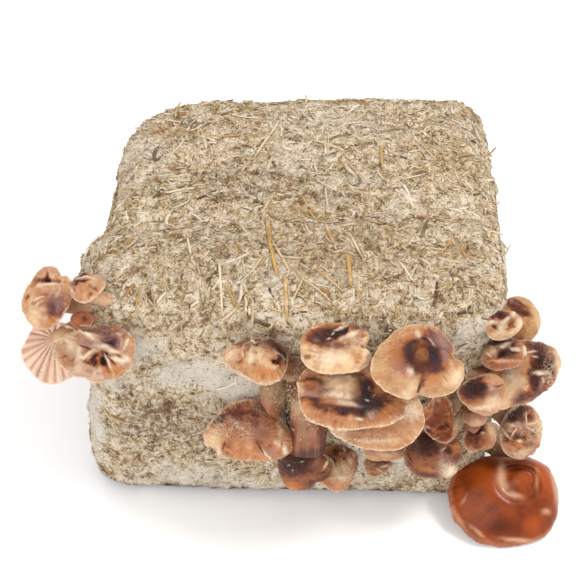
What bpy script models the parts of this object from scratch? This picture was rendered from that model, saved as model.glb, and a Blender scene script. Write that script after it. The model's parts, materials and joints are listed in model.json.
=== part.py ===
"""Shiitake grow block: a pressed block of straw and sawdust with mushrooms grown out of its sides.

Metres, +Z up. -Y is the side with the large cluster and -X the side with the small one.
The origin is the middle of the block's flat foot, which stands on the table.
"""

import math

import bmesh
import bpy
from mathutils import Euler, Matrix, Vector, noise
from mathutils.bvhtree import BVHTree

MM = 0.001

# Driving dimensions of the block as pressed in its bag: width, depth, height
BLOCK_SIZE = Vector((232, 198, 162)) * MM
TOP_ROUNDING = Vector((22, 22, 18)) * MM
FOOT_ROUNDING = Vector((22, 22, 8)) * MM
BLOCK_CUTS = 9
EDGE_CROWDING = 1.25

# How far the pressed block departs from a plain box
SKEW = 0.038
SHEAR = 3 * MM
FRONT_BULGE = 4 * MM
RIGHT_BULGE = 3 * MM
LEFT_STEP = 8 * MM
LEFT_FLARE = 6 * MM
SLACK_CORNER = Vector((9, -9, -6)) * MM
TOP_CROWN = 3 * MM
TOP_FRONT_DROP = 4 * MM
SEAM_DEPTH = 3 * MM
SEAM_WIDTH = 8 * MM
SEAM_PLACE = -30 * MM
SEAM_WANDER = 5 * MM
LUMP_HEIGHT = 2.2 * MM
LUMP_SIZE = 42 * MM

# Clearance between touching pieces
GAP = 0.3 * MM

# A stem starts this deep inside the block's corner rounding before it is trimmed to the block
STEM_BURIAL = 7 * MM
STEM_POINTS = 5
STEM_SIDES_PER_QUARTER = 2

# A mushroom's values, in millimetres and degrees. Turns run anticlockwise from the cap's own right.
#   at: middle of the rim
#   face: way the cap looks, as (turn from -Y towards +X, rise over level)
#   half: half width and half length of the outline
#   rise, flesh, lip: height of the dome, thickness in the middle, how far the rim hangs
#   curl: how far the outer part bends up
#   knob: (share of the radius, height, depth of the ring around it) of a swollen middle
#   apex: place of the middle, as shares of the half sizes
#   lobes: (count, share of the radius, turn) of a wavy outline
#   wave: (count, height, turn) of a rim that goes up and down
#   dents: (turn, share of the radius, half angle) of a notch in the outline
#   root: where the stem leaves the block
#   stem: radius at the root and under the cap
PLAIN = {
    "rise": 7, "flesh": 6, "lip": 2, "curl": 0, "knob": (), "apex": (0, 0), "lobes": (), "wave": (2, 0, 0),
    "dents": (), "stem": (5, 4),
}
MUSHROOMS = {
    "front_1": {
        "at": (-20, -115, 134), "face": (-14, 72), "half": (17.5, 12), "rise": 10, "flesh": 8, "lip": 5,
        "apex": (0.1, 0.3), "lobes": ((3, 0.1, -62),), "root": (3, -100, 114), "stem": (7, 5),
    },
    "front_2": {
        "at": (21, -120, 148), "face": (0, 68), "half": (19.5, 15), "rise": 3, "flesh": 8, "lip": 6, "curl": 3,
        "lobes": ((4, 0.04, 42),), "wave": (3, 1, 40), "dents": ((6, 0.16, 12),),
        "root": (21, -100, 130), "stem": (6, 5),
    },
    "front_3": {
        "at": (62, -135, 151), "face": (8, 44), "half": (24, 19.5), "rise": 9, "flesh": 8, "lip": 5,
        "knob": (0.24, 2, 1.5), "apex": (0.06, 0.35), "lobes": ((3, 0.07, -35),), "wave": (3, 2, -35),
        "dents": ((-90, 0.14, 9), (8, 0.12, 9), (-145, 0.12, 24)), "root": (66, -100, 128), "stem": (8, 6),
    },
    "front_4": {
        "at": (30, -130, 124), "face": (2, 56), "half": (30, 20), "rise": 6, "flesh": 8, "lip": 4, "curl": 1,
        "knob": (0.24, 3, 2), "apex": (-0.14, 0.3), "lobes": ((4, 0.05, 50),), "wave": (3, 2, 180),
        "dents": ((-125, 0.08, 12),), "root": (30, -100, 118), "stem": (8, 6),
    },
    "front_5": {
        "at": (45, -124, 99), "face": (6, 52), "half": (26.5, 18.5), "rise": 4, "flesh": 5, "lip": 2,
        "lobes": ((3, 0.05, 60),), "wave": (3, 1.5, 0), "root": (47, -100, 92), "stem": (7, 6),
    },
    "front_6": {
        "at": (-26, -119, 79), "face": (-6, 26), "half": (24, 18.5), "rise": 9, "flesh": 8, "lip": 5,
        "apex": (0.25, 0.3), "lobes": ((3, 0.1, 90), (2, 0.04, 0)), "dents": ((-142, 0.08, 10),),
        "root": (-10, -100, 99), "stem": (8, 7),
    },
    "front_7": {
        "at": (5, -128, 59), "face": (0, 24), "half": (16, 12.5), "rise": 6, "flesh": 8, "lip": 5,
        "apex": (0, 0.2), "lobes": ((3, 0.08, -110),), "dents": ((-55, 0.14, 14),),
        "root": (8, -99, 110), "stem": (12, 11),
    },
    "front_8": {
        "at": (24, -112, 42), "face": (22, 34), "half": (14, 14), "rise": 6, "flesh": 6, "lip": 3,
        "lobes": ((3, 0.08, 30),), "root": (20, -100, 50), "stem": (5, 4),
    },
    "front_9": {
        "at": (48, -106, 36), "face": (0, 36), "half": (8, 6.5), "rise": 3, "flesh": 3, "lip": 1,
        "lobes": ((3, 0.12, 10),), "root": (48, -100, 33), "stem": (3, 3),
    },
    "front_10": {
        "at": (52, -110, 58), "face": (4, 38), "half": (13, 9), "rise": 3, "flesh": 4, "lip": 2,
        "lobes": ((3, 0.06, 90),), "root": (52, -100, 58), "stem": (4, 3),
    },
    "front_11": {
        "at": (78, -121, 94), "face": (12, 40), "half": (9, 13), "rise": 1, "flesh": 5, "lip": 2, "curl": 3,
        "lobes": ((3, 0.08, -60),), "root": (87, -99, 88), "stem": (8, 5),
    },
    "front_12": {
        "at": (79, -116, 59), "face": (2, 36), "half": (17, 16), "rise": 10, "flesh": 8, "lip": 6,
        "apex": (-0.15, 0.15), "lobes": ((3, 0.06, -35),), "dents": ((-25, 0.15, 14), (60, 0.12, 12)),
        "root": (90, -99, 78), "stem": (9, 6),
    },
    "right_1": {
        "at": (128, -65, 116), "face": (42, 56), "half": (13.5, 14), "rise": 9, "flesh": 8, "lip": 5,
        "lobes": ((2, 0.05, 30),), "root": (115, -62, 106), "stem": (6, 5),
    },
    "right_2": {
        "at": (110, -98, 144), "face": (14, 60), "half": (10.5, 8.5), "rise": 4, "flesh": 6, "lip": 4,
        "curl": 1.5, "lobes": ((3, 0.06, 0),), "root": (104, -90, 132), "stem": (6, 5),
    },
    "right_3": {
        "at": (113, -103, 127), "face": (18, 54), "half": (13, 9), "rise": 5, "flesh": 6, "lip": 4,
        "lobes": ((3, 0.06, 80),), "dents": ((-35, 0.12, 14),), "root": (104, -94, 118), "stem": (6, 5),
    },
    "right_4": {
        "at": (121, -98, 106), "face": (18, 42), "half": (29, 18.5), "rise": 7, "flesh": 8, "lip": 6,
        "knob": (0.3, 3, 3), "apex": (0.12, -0.05), "lobes": ((3, 0.04, 20),), "wave": (2, 1, 0),
        "root": (113, -78, 98), "stem": (9, 8),
    },
    "right_5": {
        "at": (101, -121, 114), "face": (4, 42), "half": (13, 11), "rise": 6, "flesh": 6, "lip": 4,
        "lobes": ((3, 0.08, -70),), "root": (94, -99, 98), "stem": (7, 5),
    },
    "right_6": {
        "at": (100, -111, 84), "face": (-10, 40), "half": (6.5, 5.5), "rise": 4, "flesh": 5, "lip": 2,
        "lobes": ((2, 0.05, 0),), "root": (95, -98, 84), "stem": (5, 4),
    },
    "right_7": {
        "at": (105, -110, 68), "face": (18, 34), "half": (10, 10.5), "rise": 5, "flesh": 5, "lip": 3,
        "lobes": ((3, 0.08, -40),), "root": (97, -98, 74), "stem": (7, 5),
    },
    "right_8": {
        "at": (132, -97, 55), "face": (24, 30), "half": (14, 16.5), "rise": 8, "flesh": 8, "lip": 5,
        "lobes": ((2, 0.05, 60),), "root": (115, -78, 62), "stem": (8, 6),
    },
    "foot": {
        "at": (124, -115, 16.4), "face": (4, 62), "half": (34, 28), "rise": 13, "flesh": 10, "lip": 5,
        "knob": (0.2, 1.5, 2.5), "apex": (0.33, 0.42), "lobes": ((3, 0.02, -90), (4, 0.035, 45)),
        "dents": ((-142, 0.05, 8),), "root": (115, -70, 24), "stem": (8, 7),
    },
    "left_1": {
        "at": (-131, -92, 158), "face": (-14, 44), "half": (13.5, 16.5), "rise": 5, "flesh": 6, "lip": 3, "curl": 2,
        "apex": (0.3, -0.1), "lobes": ((2, 0.04, 60),), "wave": (3, 2, 90),
        "dents": ((62, 0.16, 12),), "root": (-104, -84, 144),
    },
    "left_2": {
        "at": (-110, -92, 166), "face": (-24, 76), "half": (9.5, 9), "rise": 4, "flesh": 5, "lip": 3,
        "lobes": ((3, 0.08, 30),), "wave": (3, 1, 0), "root": (-98, -86, 150), "stem": (4, 4),
    },
    "left_3": {
        "at": (-132, -97, 122), "face": (-168, -36), "half": (16.5, 17.5), "rise": 5, "flesh": 4, "lip": 2,
        "apex": (-0.1, 0.4), "lobes": ((5, 0.04, 0),), "wave": (5, 1, 0),
        "root": (-112, -76, 126), "stem": (4, 4),
    },
    "left_4": {
        "at": (-105, -114, 138), "face": (4, 50), "half": (21.5, 15), "rise": 6, "flesh": 8, "lip": 5,
        "apex": (0.15, 0.25), "lobes": ((3, 0.06, 50),), "wave": (3, 1, 10),
        "dents": ((-72, 0.1, 9), (-108, 0.1, 9)), "root": (-94, -91, 130), "stem": (7, 5),
    },
    "left_5": {
        "at": (-113, -101, 150), "face": (-10, 60), "half": (6, 5), "rise": 4, "flesh": 4, "lip": 1,
        "root": (-104, -88, 142), "stem": (3, 3),
    },
}

# Rings of a cap's skin from its top to its underside, as (share of the radius, side)
LARGE_RINGS = ((0.34, "top"), (0.66, "top"), (0.88, "top"), (1.0, "top"), (0.97, "lip"), (0.6, "under"))
KNOB_RINGS = ((0.7, "knob"), (1.5, "knob"), (0.66, "top"), (0.88, "top"), (1.0, "top"), (0.97, "lip"), (0.6, "under"))
SMALL_RINGS = ((0.45, "top"), (0.84, "top"), (1.0, "top"), (0.96, "lip"), (0.6, "under"))
LARGE_FROM = 13
LARGE_SEGMENTS = 16
SMALL_SEGMENTS = 12

COLOURS = {
    "substrate": (0.50, 0.40, 0.28),
    "stem": (0.56, 0.33, 0.19),
    "cap": (0.42, 0.20, 0.10),
    "foot_cap": (0.36, 0.10, 0.03),
}
ROUGHNESS = {"substrate": 0.9, "stem": 0.6, "cap": 0.45, "foot_cap": 0.15}


def clear_scene():
    for item in list(bpy.data.objects):
        bpy.data.objects.remove(item)


def new_collection(name):
    made = bpy.data.collections.new(name)
    bpy.context.scene.collection.children.link(made)
    return made


def new_material(kind):
    made = bpy.data.materials.new(kind)
    made.use_nodes = True
    shader = made.node_tree.nodes["Principled BSDF"]
    shader.inputs["Base Color"].default_value = (*COLOURS[kind], 1)
    shader.inputs["Roughness"].default_value = ROUGHNESS[kind]
    shader.inputs["Metallic"].default_value = 0
    return made


def smooth_step(value, low, high):
    share = min(1, max(0, (value - low) / (high - low)))
    return share * share * (3 - 2 * share)


def hump(value, middle, width):
    return math.exp(-(((value - middle) / width) ** 2))


def rounded_box(share):
    """A point of a rounded box, and its outward direction, for a point of a cube from -1 to 1."""
    half = BLOCK_SIZE / 2
    rounding = TOP_ROUNDING if share.z > 0 else FOOT_ROUNDING
    flat = Vector(math.copysign(1 - (1 - abs(s)) ** EDGE_CROWDING, s) * h for s, h in zip(share, half))
    inner = Vector(max(r - h, min(h - r, f)) for f, h, r in zip(flat, half, rounding))
    away = Vector((f - i) / r for f, i, r in zip(flat, inner, rounding)).normalized()
    return inner + away * rounding, away


def block_point(share):
    """The pressed block's skin for a point of a cube from -1 to 1."""
    point, away = rounded_box(share)
    across, along, up = (p / h for p, h in zip(point, BLOCK_SIZE / 2))
    left = max(0, -across)
    right = max(0, across)
    front = max(0, -along)
    over = smooth_step(up, 0, 1)
    point += away * LUMP_HEIGHT * noise.noise(point / LUMP_SIZE) * smooth_step(up, -1, -0.5)
    point.y *= 1 + SKEW * across
    point.x += SHEAR * along
    point.y -= FRONT_BULGE * front**2 * (1 - across**2) * (1 - up**2)
    point.x += RIGHT_BULGE * right * (1 - along**2)
    point.x += LEFT_STEP * left * smooth_step(along, -0.54, -0.18) * smooth_step(up, -0.8, 0.8)
    point.x -= LEFT_FLARE * left * hump(up, -0.6, 0.45)
    point += SLACK_CORNER * smooth_step(-across, 0.55, 1) * smooth_step(along, 0.55, 1) * over
    seam = SEAM_PLACE + SEAM_WANDER * math.sin(2.2 * across + 0.6)
    point.z += over * TOP_CROWN * (1 - across**2) * (1 - along**2)
    point.z -= over * TOP_FRONT_DROP * smooth_step(front, 0.62, 1)
    point.z -= over * SEAM_DEPTH * hump(point.y, seam, SEAM_WIDTH)
    point.z += BLOCK_SIZE.z / 2
    return point


def to_mesh(sheet, name):
    """Turns a closed sheet's faces outwards and makes it a mesh."""
    if sheet.calc_volume(signed=True) < 0:
        bmesh.ops.reverse_faces(sheet, faces=sheet.faces[:])
    mesh = bpy.data.meshes.new(name)
    sheet.to_mesh(mesh)
    sheet.free()
    mesh.shade_smooth()
    return mesh


def block_mesh():
    """A cube with a grid on each side, pressed into the block's shape."""
    sheet = bmesh.new()
    bmesh.ops.create_cube(sheet, size=2)
    bmesh.ops.subdivide_edges(sheet, edges=sheet.edges[:], cuts=BLOCK_CUTS, use_grid_fill=True)
    for vertex in sheet.verts:
        vertex.co = block_point(vertex.co)
    return to_mesh(sheet, "substrate_block")


def outline_reach(mushroom, angle):
    """How far the outline reaches at an angle, as a share of the plain ellipse."""
    reach = 1
    for count, depth, turn in mushroom["lobes"]:
        reach += depth * math.cos(count * (angle - math.radians(turn)))
    for turn, depth, width in mushroom["dents"]:
        off = math.remainder(angle - math.radians(turn), math.tau)
        reach -= depth * hump(off, 0, math.radians(width))
    return reach


def dome_height(mushroom, share):
    """Height of the cap's top over its rim, before the waves."""
    height = mushroom["rise"] * (1 - share**2.2) + mushroom["curl"] * share**3
    if mushroom["knob"]:
        size, swelling, trench = mushroom["knob"]
        height += swelling * (1 - smooth_step(share, 0.6 * size, 1.2 * size))
        height -= trench * hump(share, 1.5 * size, 0.5 * size)
    return height


def cap_point(mushroom, share, angle, side):
    """A point of a cap's skin in the cap's own frame, whose z is the way it looks."""
    if side == "knob":
        share *= mushroom["knob"][0]
    reach = share * (1 + (outline_reach(mushroom, angle) - 1) * share)
    swings = (math.cos(angle), math.sin(angle))
    x, y = (h * (reach * s + a * (1 - share)) for h, s, a in zip(mushroom["half"], swings, mushroom["apex"]))
    z = dome_height(mushroom, share)
    if side == "lip":
        z -= mushroom["lip"]
    if side == "under":
        z -= mushroom["flesh"] * (1 - 0.4 * share)
    count, height, turn = mushroom["wave"]
    z += height * share**2 * math.cos(count * (angle - math.radians(turn)))
    return Vector((x, y, z)) * MM


def cap_mesh(name, mushroom):
    """A cap turned as a plain profile, whose rings then take the cap's own shape."""
    large = max(mushroom["half"]) >= LARGE_FROM
    rings = KNOB_RINGS if mushroom["knob"] else LARGE_RINGS if large else SMALL_RINGS
    segments = LARGE_SEGMENTS if large else SMALL_SEGMENTS
    profile = ((0, "top"), *rings, (0, "under"))
    sheet = bmesh.new()
    line = [sheet.verts.new((share, 0, -place)) for place, (share, side) in enumerate(profile)]
    edges = [sheet.edges.new(pair) for pair in zip(line, line[1:])]
    bmesh.ops.spin(
        sheet, geom=line + edges, cent=(0, 0, 0), axis=(0, 0, 1), angle=math.tau, steps=segments, use_merge=True,
    )
    bmesh.ops.remove_doubles(sheet, verts=sheet.verts[:], dist=1e-5)
    for vertex in sheet.verts:
        share, side = profile[round(-vertex.co.z)]
        vertex.co = cap_point(mushroom, share, math.atan2(vertex.co.y, vertex.co.x), side)
    return to_mesh(sheet, name)


def cap_place(mushroom):
    """Where a cap is and which way it looks."""
    turn, rise = mushroom["face"]
    look = Euler((math.radians(90 - rise), 0, math.radians(turn))).to_matrix()
    return Matrix.LocRotScale(Vector(mushroom["at"]) * MM, look, None)


def away_from_block(root):
    """The level direction in which a stem leaves the block."""
    half = BLOCK_SIZE / 2
    inner = Vector(max(r - h, min(h - r, c)) for c, h, r in zip(root.xy, half.xy, TOP_ROUNDING.xy))
    return (root.xy - inner).to_3d().normalized()


def stem_line(mushroom):
    """Points of a stem, from inside the block to the middle of its cap's flesh."""
    root = Vector(mushroom["root"]) * MM
    away = away_from_block(root)
    place = cap_place(mushroom)
    out = place.col[2].to_3d()
    end = place @ cap_point(mushroom, 0, 0, "under") + out * mushroom["flesh"] * 0.4 * MM
    reach = (end - root).length / 3
    handles = (root - away * STEM_BURIAL, root + away * reach, end - out * reach, end)
    points = []
    for step in range(STEM_POINTS):
        t = step / (STEM_POINTS - 1)
        weights = ((1 - t) ** 3, 3 * t * (1 - t) ** 2, 3 * t * t * (1 - t), t**3)
        points.append(sum((h * w for h, w in zip(handles, weights)), Vector()))
    return points


def stem_mesh(name, mushroom, collection):
    """A stem as a bevelled curve, made into a welded mesh."""
    line = bpy.data.curves.new(name, "CURVE")
    line.dimensions = "3D"
    line.bevel_depth = MM
    line.bevel_resolution = STEM_SIDES_PER_QUARTER
    line.use_fill_caps = True
    points = stem_line(mushroom)
    spline = line.splines.new("POLY")
    spline.points.add(len(points) - 1)
    foot, head = mushroom["stem"]
    for place, (point, target) in enumerate(zip(points, spline.points)):
        target.co = (*point, 1)
        target.radius = foot + (head - foot) * place / (len(points) - 1)
    guide = bpy.data.objects.new(name, line)
    collection.objects.link(guide)
    bpy.context.view_layer.update()
    tube = bpy.data.meshes.new_from_object(guide.evaluated_get(bpy.context.evaluated_depsgraph_get()))
    bpy.data.objects.remove(guide)
    sheet = bmesh.new()
    sheet.from_mesh(tube)
    bmesh.ops.remove_doubles(sheet, verts=sheet.verts[:], dist=1e-6)
    return to_mesh(sheet, name)


def new_piece(name, mesh, place, collection, material):
    piece = bpy.data.objects.new(name, mesh)
    piece.matrix_world = place
    mesh.materials.clear()
    mesh.materials.append(material)
    collection.objects.link(piece)
    return piece


def new_cutter(piece, collection):
    """A piece's own shape with the clearance added all round, to trim its neighbours with."""
    mesh = piece.data.copy()
    for vertex, normal in zip(mesh.vertices, piece.data.vertex_normals):
        vertex.co += normal.vector * GAP
    cutter = bpy.data.objects.new(f"space_of_{piece.name}", mesh)
    cutter.matrix_world = piece.matrix_world
    cutter.display_type = "WIRE"
    cutter.hide_render = True
    collection.objects.link(cutter)
    return cutter


def skin(piece):
    points = [piece.matrix_world @ v.co for v in piece.data.vertices]
    return BVHTree.FromPolygons(points, [p.vertices for p in piece.data.polygons])


def islands(sheet):
    """The separate bodies of a sheet, each as a set of its points."""
    waiting = set(sheet.verts)
    found = []
    while waiting:
        front = [waiting.pop()]
        island = set(front)
        while front:
            near = {v for edge in front.pop().link_edges for v in edge.verts} & waiting
            waiting -= near
            island |= near
            front.extend(near)
        found.append(island)
    return found


def face_area(island):
    return sum(face.calc_area() for face in {face for vertex in island for face in vertex.link_faces})


def trim(piece, cutters):
    """Cuts a piece clear of the spaces it meets, and drops the scraps."""
    met = [cutter for cutter in cutters if skin(piece).overlap(skin(cutter))]
    for cutter in met:
        cut = piece.modifiers.new("clear_of_neighbour", "BOOLEAN")
        cut.operation = "DIFFERENCE"
        cut.object = cutter
    if not met:
        return
    bpy.context.view_layer.update()
    cut_mesh = bpy.data.meshes.new_from_object(piece.evaluated_get(bpy.context.evaluated_depsgraph_get()))
    piece.modifiers.clear()
    sheet = bmesh.new()
    sheet.from_mesh(cut_mesh)
    kept = max(islands(sheet), key=face_area)
    bmesh.ops.delete(sheet, geom=[v for v in sheet.verts if v not in kept], context="VERTS")
    finish = piece.active_material
    piece.data = to_mesh(sheet, piece.name)
    piece.data.materials.append(finish)


def main():
    clear_scene()
    grow_block = new_collection("shiitake_grow_block")
    cutters = new_collection("cutters")
    finishes = {kind: new_material(kind) for kind in COLOURS}
    block = new_piece("substrate_block", block_mesh(), Matrix(), grow_block, finishes["substrate"])
    spaces = [new_cutter(block, cutters)]
    mushrooms = {name: {**PLAIN, **mushroom} for name, mushroom in MUSHROOMS.items()}
    pieces = []
    for name, mushroom in mushrooms.items():
        finish = finishes.get(f"{name}_cap", finishes["cap"])
        pieces.append(new_piece(f"{name}_cap", cap_mesh(name, mushroom), cap_place(mushroom), grow_block, finish))
    for name, mushroom in mushrooms.items():
        mesh = stem_mesh(name, mushroom, grow_block)
        pieces.append(new_piece(f"{name}_stem", mesh, Matrix(), grow_block, finishes["stem"]))
    for piece in pieces:
        space = new_cutter(piece, cutters)
        trim(piece, spaces)
        spaces.append(space)
        piece.parent = block


main()
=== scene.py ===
"""Looks of a shiitake grow block: a pressed block of straw and sawdust with mushrooms grown out of its sides.

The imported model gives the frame: metres, +Z up, the large cluster on -Y and the small one on -X.
"""

import itertools
import json
import math

import bmesh
import bpy
import numpy as np
from bpy.props import FloatProperty, FloatVectorProperty, IntProperty, PointerProperty
from mathutils import Euler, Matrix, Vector, noise
from mathutils.bvhtree import BVHTree

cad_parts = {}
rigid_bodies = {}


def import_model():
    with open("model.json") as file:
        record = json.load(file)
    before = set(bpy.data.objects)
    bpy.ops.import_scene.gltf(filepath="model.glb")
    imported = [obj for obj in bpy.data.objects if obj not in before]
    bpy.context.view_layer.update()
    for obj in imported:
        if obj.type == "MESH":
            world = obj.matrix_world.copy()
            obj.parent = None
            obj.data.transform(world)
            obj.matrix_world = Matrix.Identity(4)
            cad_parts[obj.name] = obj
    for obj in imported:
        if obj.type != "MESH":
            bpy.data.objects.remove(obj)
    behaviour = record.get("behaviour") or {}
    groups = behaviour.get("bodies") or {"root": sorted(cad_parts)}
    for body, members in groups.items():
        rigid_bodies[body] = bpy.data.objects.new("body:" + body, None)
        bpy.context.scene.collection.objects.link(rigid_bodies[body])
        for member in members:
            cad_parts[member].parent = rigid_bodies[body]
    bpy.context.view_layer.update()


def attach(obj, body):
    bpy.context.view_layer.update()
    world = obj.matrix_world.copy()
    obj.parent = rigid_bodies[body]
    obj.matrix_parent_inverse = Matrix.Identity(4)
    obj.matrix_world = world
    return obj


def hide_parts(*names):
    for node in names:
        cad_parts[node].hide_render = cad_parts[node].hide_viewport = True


bl_info = {
    "name": "Shiitake grow block",
    "version": (1, 0, 0),
    "blender": (4, 5, 0),
    "location": "3D View > Sidebar > Grow block",
    "description": "Makes the straw block, its mushrooms and a plain stage around the packed model",
    "category": "Add Mesh",
}

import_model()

MM = 0.001

# The pressed block, in millimetres, as in the part's source
BLOCK_SIZE = np.array((232.0, 198.0, 162.0))
TOP_ROUNDING = np.array((22.0, 22.0, 18.0))
FOOT_ROUNDING = np.array((22.0, 22.0, 8.0))
EDGE_CROWDING = 1.25
SKEW = 0.038
SHEAR = 3
FRONT_BULGE = 4
RIGHT_BULGE = 3
LEFT_STEP = 8
LEFT_FLARE = 6
SLACK_CORNER = np.array((9, -9, -6))
TOP_CROWN = 3
TOP_FRONT_DROP = 4
SEAM_DEPTH = 3
SEAM_WIDTH = 8
SEAM_PLACE = -30
SEAM_WANDER = 5
LUMP_HEIGHT = 2.2
LUMP_SIZE = 42
STEM_BURIAL = 7

# Grid cells of the block's skin along its width, depth and height
BLOCK_CELLS = (151, 129, 105)

# The photograph's camera: place in metres, angle below level, sensor and lens in mm
CAMERA_PLACE = (-0.0013, -0.5805, 0.6102)
CAMERA_DOWN = 42.6
CAMERA_SENSOR = 36
CAMERA_LENS = 77.34
PICTURE_SIZE = 586

# Half the floor's width in metres, and the lamps: place, size and colour, all aimed at one point
FLOOR_HALF = 6
LAMP_AIM = (0, 0, 0.08)
LAMPS = {
    "key": ((0.66, -0.16, 1.1), (0.3, 0.3), (1, 0.98, 0.95)),
    "fill": ((-0.6, -1.1, 0.9), (1.6, 1.2), (1, 1, 1)),
}

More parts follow.
